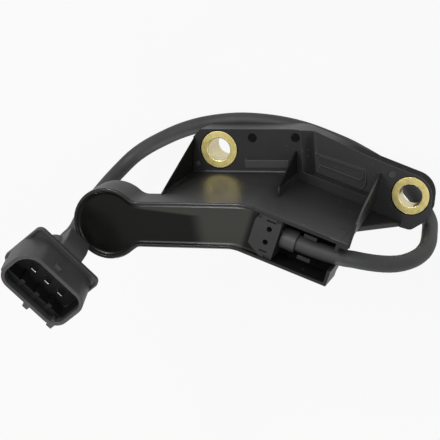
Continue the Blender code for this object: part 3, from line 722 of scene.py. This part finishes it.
# Housing: one moulding of flange, wall, tray, gussets and brackets
housingSettings = {
    "bore": 5.55,
    "flangeThick": 10.0,
    "earThick": 5.4,
    "flangeLeft": -34.1,
    "sideSlant": 1.3,
    "flangeTop": 12.75,
    "earRadius": 6.05,
    "rim": 43.9,
    "trayBase": 34.0,
    "trayFloor": 35.2,
    "pot": (-47.9, -6.25, 9.86, 4.0),  # centre, radius, fillet to the arm
    "arm": (0.0, -12.5),  # its two sides
    "box": (-3.05, -16.2, 18.85),  # two sides and the end
    "rimWall": 0.95,
    "rimRound": ((0.5, 0.0), (0.25, 0.07), (0.09, 0.21), (0.0, 0.5)),  # drop and inset
    "baseEdge": 0.55,
    "wall": (0.35, -2.75, 2.2, 0.45),  # place at the arm and the box, thickness, draft
    "skirt": (-3.25, -6.35),  # low edge of the flange at the arm and the box
    "step": (-2.8, 3.5),  # start and length of the slope down to the ear
    "slot": (-9.05, 39.2, 2.6),  # line, height and half width
    "jaw": (8.7, 12.4, 2.55, 1.1),  # start, end, distance from the cable, thickness
    "rimBevel": 0.24,
    "edgeBevel": 0.34,
    "ribBevel": 0.14,
    "detailBevel": 0.2,
    "fin": 0.5,
    "bead": (0.22, 0.8, 0.7),  # height, width of the outer line, width of the inner one
    "ejectors": ((-16.6, 10.2, 1.35), (-4.1, 10.3, 1.35), (21.7, -0.9, 1.2)),
    "core": ((-19.2, -0.4), (-6.4, 9.4), 1.0),
}


def trayOutline(inset, end=None):
    # plan of the tray; with an end given, the box stops there with square corners
    look = housingSettings
    px, py, radius, fillet = look["pot"]
    radius -= inset
    fillet += inset
    top = look["arm"][0] - inset
    low = look["arm"][1] + inset
    boxTop, boxLow, boxEnd = look["box"]
    corner = 0.45 - 0.3 * (inset > 0)
    if end is not None:
        boxEnd = end
        corner = 0.0
    rise = top + fillet - py
    run = math.sqrt((radius + fillet) ** 2 - rise ** 2)
    lean = math.atan2(rise, run)
    loop = arcPoints((px + run, top + fillet), fillet, math.pi + lean, math.pi * 1.5, 9)
    bendTop = lineMeet(top, boxTop - inset)
    bendLow = lineMeet(low, boxLow + inset)
    corners = rounded(
        [
            loop[-1],
            (*bendTop, 14.0 + inset),
            (*boxPoint(boxEnd - inset, boxTop - inset), corner),
            (*boxPoint(boxEnd - inset, boxLow + inset), corner),
            (*bendLow, 9.0 - inset),
            (px + run, low),
        ],
        3.5,
    )
    loop += corners[1:-1]
    loop += arcPoints((px + run, low - fillet), fillet, math.pi / 2, math.pi - lean, 9)
    loop += arcPoints((px, py), radius, -lean, lean - 2 * math.pi, 56)[1:-1]
    return loop[::-1]


def wallOutline(drop):
    top, across, thick = housingSettings["wall"][:3]
    left = housingSettings["flangeLeft"] - housingSettings["sideSlant"] + 0.3
    bend = lineMeet(top - drop, across - drop)
    bendLow = lineMeet(top - thick, across - thick)
    return rounded(
        [
            (left, top - drop),
            (left, top - thick),
            (*bendLow, 12.0),
            boxPoint(18.5, across - thick),
            boxPoint(18.5, across - drop),
            (*bend, 14.0),
        ],
        3.5,
    )


def flangeOutline(top):
    look = housingSettings
    low, across = look["skirt"]
    ear = arcPoints(bolts["right"], look["earRadius"], math.radians(-12.0), math.radians(67.0), 12)
    return rounded(
        [
            (look["flangeLeft"] - look["sideSlant"], low, 1.5),
            (*lineMeet(low, across), 10.0),
            (22.6, (across - 22.6 * math.sin(slant)) / math.cos(slant)),
            (23.4, -15.9, 0.5),
            (26.3, -16.7, 2.0),
            (30.3, -14.3, 3.0),
            (32.2, -10.9, 3.0),
            *ear,
            (15.5, 4.05, 60.0),
            (-2.6, top, 12.0),
            (look["flangeLeft"] + 2.3, top, 0.6),
            (look["flangeLeft"], 10.6, 0.6),
        ],
        5.0,
    )


def makeFlange():
    look = housingSettings
    thick = look["flangeThick"]
    foot = (0.0, flangeOutline(look["flangeTop"] - 0.35))
    body = drawSolid("housing_moulding", [foot, (thick, flangeOutline(look["flangeTop"]))])
    # S-shaped step between the two levels
    start, length = look["step"]
    ramp = [(60.0, 14.0), (start, 14.0)]
    for k in range(13):
        fall = (thick - look["earThick"] + 0.02) * (1 + math.cos(math.pi * k / 12)) / 2
        ramp.append((start + length * k / 12, look["earThick"] + fall))
    ramp.append((60.0, look["earThick"]))
    cut(body, drawPlate("ramp", ramp, -30.0, 40.0, frameOf((0, 0, 0), (1, 0, 0), (0, 0, 1))))
    bevelEdges(body, look["edgeBevel"], 3, 24.0)
    ledge = drawPlate("ledge", boxRectangle((-6.0, -4.0), (18.6, -0.25)), 3.5, thick - 0.05)
    bevelEdges(ledge, look["ribBevel"], 2)
    join(body, ledge)
    return body


def makeTray():
    look = housingSettings
    levels = [(look["trayBase"], trayOutline(look["baseEdge"]))]
    levels.append((look["trayBase"] + look["baseEdge"], trayOutline(0.0)))
    levels += [(look["rim"] - drop, trayOutline(inset)) for drop, inset in look["rimRound"]]
    tray = drawSolid("tray", levels)
    cut(tray, drawPlate("hollow", trayOutline(look["rimWall"]), look["trayFloor"], look["rim"] + 1.0))
    # open slot for the cable in the end of the box
    line, height, half = look["slot"]
    slot = [(-half, 8.0), *arcPoints((0.0, 0.0), half, math.pi, 2 * math.pi, 16), (half, 8.0)]
    across = (-math.sin(slant), -math.cos(slant), 0.0)
    place = frameOf((*boxPoint(look["box"][2] - 2.0, line), height), across, (0, 0, 1))
    cut(tray, drawPlate("cableSlot", slot, -3.0, 1.9, place))
    bevelEdges(tray, look["rimBevel"], 3, 40.0)
    return tray


def makeRibs():
    look = housingSettings
    thick = look["flangeThick"]
    rim = look["rim"]
    pieces = []
    # tip of the wall past the box, set back towards the flange
    tip = []
    for height, end in ((4.0, 18.7), (33.0, 19.7), (rim - 0.03, 21.2)):
        tip.append((height, boxRectangle((16.0, -4.65), (end, -3.08))))
    pieces.append(drawSolid("wallTip", tip))
    # left gusset, along the slanted side and ending on the base of the tray
    fin = []
    foot = look["flangeLeft"] - look["sideSlant"] + 0.1
    for height, free in ((thick - 2.0, 10.3), (thick, 10.3), (look["trayBase"] + 2.4, -0.1)):
        edge = look["flangeLeft"] + 0.1 - look["sideSlant"] * (10.6 - free) / 11.8
        outline = [(foot, -1.2), (foot + look["fin"], -1.2), (edge + look["fin"], free), (edge, free)]
        fin.append((height, outline))
    pieces.append(drawSolid("gussetLeft", fin))
    # middle gusset, square to the arm
    fin = [(6.7, thick - 2.0), (6.7, thick), (1.0, 27.2), (0.0, 28.6), (-1.6, 28.6), (-3.3, thick - 2.0)]
    place = frameOf((-4.3, 0, 0), (0, 1, 0), (0, 0, 1))
    pieces.append(drawPlate("gussetMid", fin, 0.0, look["fin"], place))
    # right gusset, leaning towards the end of the box, and the rib down to the ear
    blade = []
    for height, lowLeft, lowRight, free in (
        (2.0, 18.3, 18.95, (18.8, -0.5)),
        (look["earThick"] + 0.02, 18.3, 18.95, (18.8, -0.5)),
        (33.0, 19.3, 19.95, (20.4, -3.35)),
        (rim - 0.05, 20.9, 21.55, (21.05, -4.9)),
    ):
        foot = [boxPoint(lowLeft, -4.0), boxPoint(lowRight, -4.0)]
        blade.append((height, foot + [free, (free[0] - look["fin"], free[1] + 0.2)]))
    pieces.append(drawSolid("gussetRight", blade))
    rib = [(17.2, 2.0), (27.2, 2.0), (27.4, 5.7), (26.9, 6.9), (18.9, 23.4), (17.2, 26.6)]
    along = (math.cos(slant), -math.sin(slant), 0.0)
    pieces.append(drawPlate("rib", rib, 0.0, 1.5, frameOf((*boxPoint(0.0, -4.7), 0.0), along, (0, 0, 1))))
    # brackets under the box, then under the arm
    across = (-math.sin(slant), -math.cos(slant), 0.0)
    bracket = [(3.4, 3.0), (6.1, 3.0), (6.1, 23.2), (10.3, 26.4), (13.4, 32.0), (15.2, 34.8), (3.4, 34.8)]
    for u, wide in ((18.79, 1.2), (7.4, 1.4), (-3.6, 1.4)):
        place = frameOf((*boxPoint(u, 0.0), 0.0), across, (0, 0, 1))
        pieces.append(drawPlate("bracket", bracket, 0.0, wide, place))
    bracket = [(0.8, 3.0), (3.0, 3.0), (3.0, 22.0), (7.0, 26.4), (10.0, 32.0), (11.4, 34.8), (0.8, 34.8)]
    for x in (-17.6, look["flangeLeft"] + 1.5):
        pieces.append(drawPlate("bracket", bracket, 0.0, 1.4, frameOf((x, 0, 0), (0, -1, 0), (0, 0, 1))))
    for piece in pieces:
        bevelEdges(piece, look["ribBevel"], 2)
    return pieces


def makeDetails():
    # jaws and saddle for the cable, bar and stud on the flange
    look = housingSettings
    top = look["flangeThick"]
    seat = look["trayFloor"] - 0.6
    near, far, gap, thick = look["jaw"]
    pieces = []
    line = cableSettings["start"][1]
    for inner, outer in ((gap, gap + thick), (-gap - thick, -gap)):
        jaw = boxRectangle((near, line + inner), (far, line + outer))
        pieces.append(drawPlate("jaw", jaw, seat, 40.8))
    pieces.append(drawPlate("saddle", boxRectangle((9.3, -10.8), (11.2, -7.9)), seat, 36.63))
    bar = [(-19.2, 1.6), (-6.3, 1.7), (-6.3, 4.0), (-19.2, 3.95)]
    pieces.append(drawPlate("bar", bar, top - 0.5, top + 0.25))
    pieces.append(addRod("stud", (-33.2, 2.8), 0.75, top - 0.5, top + 0.2, 24))
    # hollow corner between the left bay and the wall
    hollow = [(-0.6, top - 0.5), (0.95, top - 0.5), (0.95, top - 0.01)]
    hollow += arcPoints((0.95, top + 0.75), 0.75, math.pi * 1.5, math.pi, 7)[1:-1]
    hollow += [(0.18, top + 0.8), (-0.6, top + 0.8)]
    corner = drawPlate("hollowCorner", hollow, -34.6, -4.0, frameOf((0, 0, 0), (0, 1, 0), (0, 0, 1)))
    for piece in pieces:
        bevelEdges(piece, look["detailBevel"], 2)
    return [*pieces, corner]


def insetCorners(corners, distance):
    # corners of a clockwise outline moved inwards, each with a smaller radius
    moved = []
    for k, (x, y, radius) in enumerate(corners):
        here = Vector((x, y))
        before = (here - Vector(corners[k - 1][:2])).normalized()
        after = (Vector(corners[(k + 1) % len(corners)][:2]) - here).normalized()
        sides = Vector((before.y + after.y, -before.x - after.x))
        spot = here + sides * (distance / (1 + before.dot(after)))
        moved.append((spot.x, spot.y, max(0.1, radius - distance)))
    return moved


def addBead(name, corners, width, low, high):
    # thin raised line with sloped sides round an outline
    slope = width * 0.3
    outer, brow, lip, inner = (
        rounded(insetCorners(corners, inset), 18.0) for inset in (0.0, slope, width - slope, width)
    )
    bead = drawSolid(name, [(low, outer), (high - slope, outer), (high, brow)])
    cut(bead, drawSolid("hole", [(low - 1, inner), (high - slope, inner), (high, lip), (high + 1, lip)]))
    return bead


def makePanel():
    # framed panel of the middle bay, with a second frame inside it
    top = housingSettings["earThick"]
    rise, outerWide, innerWide = housingSettings["bead"]
    outer = [(-0.3, 5.5, 1.0), (14.7, 0.6, 1.2), (14.6, -6.9, 3.0), (-2.3, -1.5, 1.0)]
    inner = [(0.5, 4.7, 0.8), (14.0, 0.3, 1.3), (13.7, -3.4, 1.3), (0.7, 1.4, 0.8)]
    return [
        addBead("panelFrame", outer, outerWide, top - 0.5, top + rise),
        addBead("panelLine", inner, innerWide, top - 0.5, top + rise),
    ]


def makeHousing():
    look = housingSettings
    body = makeFlange()
    head = (look["trayFloor"] + 0.8, wallOutline(look["wall"][3]))
    wall = drawSolid("wall", [(2.5, wallOutline(0.0)), head])
    bevelEdges(wall, 0.3, 2)
    join(body, wall, makeTray(), *makeRibs(), *makeDetails(), *makePanel())
    for spot in bolts.values():
        cut(body, addRod("bore", spot, look["bore"], -1.0, 12.0, 64))
    for x, y, radius in look["ejectors"]:
        top = look["flangeThick"] if x < 0.0 else look["earThick"]
        cut(body, addRod("ejector", (x, y), radius, top - 0.3, top + 1.0, 32))
    # coring of the thick part from the mounting side
    low, high, corner = look["core"]
    core = rounded([(*point, corner) for point in rectangle(low, high)], 22.0)
    cut(body, drawPlate("core", core, -1.0, look["flangeThick"] - 2.6))
    dress(body, skins["housing"], "housing")


makeHousing()
print("housing made")

# Bushings: turned brass sleeves with a chamfered bore
bushingSettings = {"outer": 5.3, "bore": 3.25, "chamfer": 0.24, "mouth": 0.4}


def makeBushing(side, length):
    look = bushingSettings
    tube = addRod("bushing_sleeve_" + side, bolts[side], look["outer"], 0.0, length, 96)
    cut(tube, addRod("bushBore", bolts[side], look["bore"], -1.0, length + 1.0, 96))
    centre = Vector(bolts[side]) * mm
    between = (look["outer"] + look["bore"]) / 2 * mm

    def isRim(edge, inside):
        # a level edge round the bore or round the outside
        ends = [tube.data.vertices[k].co for k in edge.vertices]
        away = [(end.xy - centre).length for end in ends]
        ring = abs(away[0] - away[1]) < 0.0001 and all((far < between) == inside for far in away)
        return ring and abs(ends[0].z - ends[1].z) < 0.000001

    for inside, wide in ((True, look["mouth"]), (False, look["chamfer"])):
        selectParts(tube, "EDGE", lambda edge: isRim(edge, inside))
        bpy.ops.mesh.bevel(offset=wide * 0.7 * mm, segments=2, affect="EDGES")
    setMode("OBJECT")
    dress(tube, skins[side], "bushing_" + side, 30.0)


makeBushing("left", housingSettings["flangeThick"])
makeBushing("right", housingSettings["earThick"])
print("bushings made")

# Potting: cast resin that climbs the wall in a hollow curve
pottingSettings = {
    "top": 43.66,
    # width and drop of each ring
    "climb": ((0.12, 0.24), (0.22, 0.2), (0.34, 0.13), (0.46, 0.05), (0.16, 0.0)),
    # edge against the terminal plate
    "plate": ((-3.9, 12.0), (-3.9, -4.0), (-4.36, -6.2), (-4.36, -12.74), (-0.66, -15.16), (-0.66, -30.0)),
}


def makePotting():
    look = pottingSettings
    rim = trayOutline(housingSettings["rimWall"] + 0.02, 4.0)
    body = drawPlate("potting_surface", rim, housingSettings["trayFloor"] + 0.3, look["top"])
    selectParts(body, "FACE", lambda face: face.normal.z > 0.9)
    for wide, drop in look["climb"]:
        bpy.ops.mesh.inset(thickness=wide * mm, depth=-drop * mm)
    setMode("OBJECT")
    guard = [*look["plate"], (30.0, -30.0), (30.0, 12.0)]
    cut(body, drawPlate("guard", [boxPoint(u, v) for u, v in guard], 30.0, 50.0))
    dress(body, skins["resin"], "potting_compound", 50.0)


makePotting()
print("potting made")

# Carrier plate for the terminals, with two pin holes and two slits
carrierSettings = {
    "top": 43.5,
    "low": 35.5,
    "groove": 40.1,
    "bevel": 0.16,
    "hole": 0.74,
    "corners": (
        (-3.6, -4.15, 0.5), (-4.3, -6.2, 0.0), (-4.3, -12.7, 0.5),
        (-0.6, -15.1, 0.5), (2.9, -15.1, 0.3), (2.9, -4.15, 0.3),
    ),
    "holes": ((0.08, -7.3), (0.08, -11.0)),
    # along the box, across it, and half their length
    "slits": ((0.1, -5.15, 1.35), (0.17, -13.5, 1.1)),
    "notches": ((2.1, -4.5, 0.7), (1.6, -14.75, 0.9), (-3.2, -4.8, 0.5)),
}


def makeCarrier():
    look = carrierSettings
    outline = rounded([(*boxPoint(u, v), radius) for u, v, radius in look["corners"]], 20.0)
    body = drawPlate("terminal_plate", outline, look["low"], look["top"])
    groove = boxRectangle((-6.0, -11.85), (5.0, -6.85))
    cut(body, drawPlate("groove", groove, 30.0, look["groove"]))
    for spot in look["holes"]:
        cut(body, addRod("pinHole", boxPoint(*spot), look["hole"], 40.9, 46.0, 32))
    for key, half, deep in (("slits", 0.2, 0.8), ("notches", 0.28, 0.5)):
        for u, v, reach in look[key]:
            opening = boxRectangle((u - reach, v - half), (u + reach, v + half))
            cut(body, drawPlate("opening", opening, look["top"] - deep, 46.0))
    bevelEdges(body, look["bevel"], 2, 40.0)
    dress(body, skins["carrier"], "terminal_carrier")


makeCarrier()

# Sleeve round the cable end
ferruleSettings = {"start": 3.1, "length": 4.3, "radius": 2.85, "bore": 2.3}


def makeFerrule():
    look = ferruleSettings
    across = (math.sin(slant), math.cos(slant), 0.0)
    spot = (*boxPoint(look["start"], cableSettings["start"][1]), cableSettings["start"][2])
    place = frameOf(spot, across, (0, 0, 1))
    sleeve = addRod("ferrule_sleeve", (0, 0), look["radius"], 0.0, look["length"], 64)
    cut(sleeve, addRod("sleeveBore", (0, 0), look["bore"], -1.0, look["length"] + 1.0, 48))
    bevelEdges(sleeve, 0.5, 5, 50.0)
    moveTo(sleeve, place)
    dress(sleeve, skins["connector"], "cable_ferrule")


makeFerrule()
print("carrier and ferrule made")

# Connector: collar, shroud, coding ribs, nubs and blades
shellSettings = {
    "collar": (22.4, 15.2, 1.4, 1.8),  # length, width, thickness, corner
    "collarEdge": 0.7,
    "shroud": (22.4, 7.2, -6.1, 9.4, 1.1),  # length, two sides, depth, wall
    "corners": (4.2, 5.8, 4.4, 4.2),
    "shift": 0.1,
    "floor": 1.6,
    "bevels": (0.18, 0.26, 0.2),  # collar, shroud, small pieces
    "codingRibs": (4.4, -0.8, -5.4),
    "ribHalf": 0.7,
    "nubs": ((-1.7, 6.7, 8.5), (-9.9, 5.0, 7.9)),
    "ramp": (0.5, 2.3),
    "rampRise": ((4.6, 0.1), (7.3, 1.2), (7.9, 1.2)),
}
pinSettings = {
    "pitch": 4.8,
    "shift": -0.1,
    "wide": 2.4,
    "thick": 0.8,
    "tip": 5.8,
    "taper": (0.45, 0.26, 0.9),  # taken off each side, each face and the length
    "gap": 0.06,
}


def plugOutline(low, high, *radii):
    # radii from the low corner on, or one for all four
    corners = rectangle(low, high)
    return rounded([(*spot, radius) for spot, radius in zip(corners, radii * (4 // len(radii)))], 9.0)


def makeShell():
    look = shellSettings
    collarBevel, shroudBevel, pieceBevel = look["bevels"]
    long, wide, thick, corner = look["collar"]
    half = Vector((long, wide)) / 2
    shell = drawPlate("connector_body", plugOutline(-half, half, corner), -thick, 0.0)
    edge = look["collarEdge"]
    half -= Vector((edge, edge))
    cut(shell, drawPlate("collarSunk", plugOutline(-half, half, corner - edge), -0.4, 1.0))
    bevelEdges(shell, collarBevel, 3)
    length, low, high, deep, wall = look["shroud"]
    left = look["shift"] - length / 2
    right = look["shift"] + length / 2
    shroud = drawPlate("shroud", plugOutline((left, high), (right, low), *look["corners"]), -0.8, deep)
    corners = [radius - wall for radius in look["corners"]]
    mouth = plugOutline((left + wall, high + wall), (right - wall, low - wall), *corners)
    cut(shroud, drawPlate("mouth", mouth, look["floor"], deep + 2.0))
    bevelEdges(shroud, shroudBevel, 3)
    join(shell, shroud)
    # step along the lower inner wall, with three coding ribs on it
    floor = look["floor"] - 0.4
    step = plugOutline((left + 0.6, low - wall - 1.5), (right - 0.6, low - 0.5), 0.8)
    pieces = [drawPlate("innerStep", step, floor, deep - 3.0)]
    for x in look["codingRibs"]:
        rib = rectangle((x - look["ribHalf"], 3.7), (x + look["ribHalf"], 6.4))
        pieces.append(drawPlate("codingRib", rib, floor, deep - 2.7))
    for x, near, reach in look["nubs"]:
        pieces.append(drawPlate("keyNub", rectangle((x, near), (x + 1.8, reach)), deep - 4.0, deep - 0.3))
    # ramp for the latch, highest near the mouth
    start, end = look["ramp"]
    ramp = [(out, rectangle((start, high - rise), (end, high + 0.5))) for out, rise in look["rampRise"]]
    pieces.append(drawSolid("latchRamp", ramp))
    for piece in pieces:
        bevelEdges(piece, pieceBevel, 2)
    join(shell, *pieces)
    half = pinSettings["wide"] / 2 + pinSettings["gap"]
    thick = pinSettings["thick"] / 2 + pinSettings["gap"]
    for k in (-1, 0, 1):
        x = pinSettings["shift"] + pinSettings["pitch"] * k
        cut(shell, drawPlate("gate", rectangle((x - half, -thick), (x + half, thick)), -4.0, 4.0))
    moveTo(shell, plugPlace)
    return dress(shell, skins["shell"], "connector_shell")


def makePin(k):
    look = pinSettings
    x = look["shift"] + look["pitch"] * k
    half = look["wide"] / 2
    thick = look["thick"] / 2
    base = rectangle((x - half, -thick), (x + half, thick))
    side, face, length = look["taper"]
    half -= side
    thick -= face
    tip = rectangle((x - half, -thick), (x + half, thick))
    levels = [(-1.3, base), (look["tip"] - length, base), (look["tip"], tip)]
    blade = drawSolid("terminal_blade_%d" % (k + 2), levels)
    bevelEdges(blade, 0.08, 2)
    moveTo(blade, plugPlace)
    return dress(blade, skins["tin"], "terminal_pin_%d" % (k + 2))


capSettings = {
    "long": 11.4,
    "wide": 10.6,
    "deep": 8.6,
    "corner": 3.6,
    "front": -1.45,
    "block": (-4.0, 3.3, -4.0, -7.3, -8.6),  # left, right, near side, far side, far side behind
    "seal": 3.6,
    "sealWall": 0.9,
    "ringHigh": 0.55,
    "cable": 2.2,
}


def makeCap():
    look = capSettings
    front = look["front"]
    back = -0.3 - look["deep"]
    half = Vector((look["long"], look["wide"])) / 2
    cap = drawPlate("rear_cover", plugOutline(-half, half, look["corner"]), back, front)
    # raised block on one side of the cap
    left, right, near, far, behind = look["block"]
    frontEnd, deepEnd = (plugOutline((left, reach), (right, near), 0.4) for reach in (far, behind))
    levels = [(back - 0.5, deepEnd), (front - 3.0, deepEnd), (front - 0.02, frontEnd)]
    block = drawSolid("coverBlock", levels)
    bevelEdges(cap, 0.6, 4, 50.0)
    bevelEdges(block, 0.3, 3)
    join(cap, block)
    cut(cap, addRod("capBore", (0, 0), look["seal"] + 0.05, back - 2.0, front - 2.0, 64))
    moveTo(cap, plugPlace)
    dress(cap, skins["connector"], "rear_cap")
    # seal: a ringed sleeve round the cable
    low = back - 3.0
    sleeve = look["seal"] - look["sealWall"]
    seal = addRod("seal_sleeve", (0, 0), sleeve, low, back + 3.4, 64)
    for k in range(3):
        ring = addRod("sealRing", (0, 0), sleeve + look["ringHigh"], low + 0.4 + k, low + 1.0 + k, 64)
        bevelEdges(ring, 0.22, 3, 50.0)
        join(seal, ring)
    plug = addRod("sealPlug", (0, 0), look["seal"], back + 0.2, back + 3.3, 64)
    bevelEdges(plug, 0.2, 3, 50.0)
    join(seal, plug)
    cut(seal, addRod("sealBore", (0, 0), look["cable"], low - 1.0, 0.0, 48))
    moveTo(seal, plugPlace)
    dress(seal, skins["rubber"], "cable_seal")
    return cap, seal


shell = makeShell()
pins = [makePin(k) for k in (-1, 0, 1)]
cap, seal = makeCap()
print("connector made")

# CAD nodes that stay get the same materials
kept = {
    "chip": ("hall_ic",),
    "magnet": ("bias_magnet",),
    "steel": ("pole_plate",),
    "copper": ("lead_strip_1", "lead_strip_2", "lead_strip_3", "core_wire_1", "core_wire_2", "core_wire_3"),
    "ceramic": ("capacitor_1", "capacitor_2"),
}
for skin, nodes in kept.items():
    for node in nodes:
        for place in frame["nodes"][node].material_slots:
            place.material = skins[skin]

# Floor and light
stageSettings = {"floor": -15.2, "white": 0.9, "mirrored": 0.5, "shade": (0.5, 0.5, 0.5), "world": 0.56}


def makeStage():
    look = stageSettings
    clearSelection()
    bpy.ops.mesh.primitive_plane_add(size=6.0, location=(0, 0, look["floor"] * mm))
    floor = bpy.context.object
    floor.name = "studio_floor"
    settle(floor)
    made, tree, shader = newMaterial("paleFloor")
    setInputs(shader, {"Base Color": (*look["shade"], 1.0), "Roughness": 0.9})
    # white to the camera, partly so in reflections
    path = addNode(tree, "ShaderNodeLightPath", {}).outputs
    mirrored = mathOf(tree, "MULTIPLY", path["Is Glossy Ray"], look["mirrored"])
    seen = unionOf(tree, path["Is Camera Ray"], mirrored, path["Is Transmission Ray"])
    share = mathOf(tree, "MULTIPLY", seen, look["white"])
    glow = addNode(tree, "ShaderNodeEmission", {"Color": (1.0, 1.0, 1.0, 1.0), "Strength": 1.0})
    inputs = {"Fac": share, 1: shader.outputs["BSDF"], 2: glow.outputs["Emission"]}
    mix = addNode(tree, "ShaderNodeMixShader", inputs)
    setInputs(tree.nodes["Material Output"], {"Surface": mix.outputs["Shader"]})
    floor.data.materials.append(made)
    world = bpy.data.worlds.new("studio")
    bpy.context.scene.world = world
    world.use_nodes = True
    sky = {"Color": (0.97, 0.98, 1.0, 1.0), "Strength": look["world"]}
    setInputs(world.node_tree.nodes["Background"], sky)


# name, place and size in mm, power
lampSettings = (
    ("keyLamp", (-200.0, 300.0, 600.0), 260.0, 1.4),
    ("sparkLamp", (-190.0, 400.0, 420.0), 50.0, 0.5),
    ("fillLamp", (300.0, 60.0, 600.0), 260.0, 0.7),
    ("lowLamp", (-150.0, -440.0, 160.0), 90.0, 0.6),
)


def makeLamps():
    for name, place, size, power in lampSettings:
        data = bpy.data.lights.new(name, "AREA")
        data.shape = "SQUARE"
        data.size = size * mm
        data.energy = power
        lamp = bpy.data.objects.new(name, data)
        bpy.context.scene.collection.objects.link(lamp)
        aim = Vector((0.0, 0.0, 20.0)) - Vector(place)
        turn = aim.to_track_quat("-Z", "Y").to_matrix().to_4x4()
        lamp.matrix_world = Matrix.Translation(Vector(place) * mm) @ turn


makeStage()
makeLamps()
bpy.context.scene.view_settings.view_transform = "Standard"
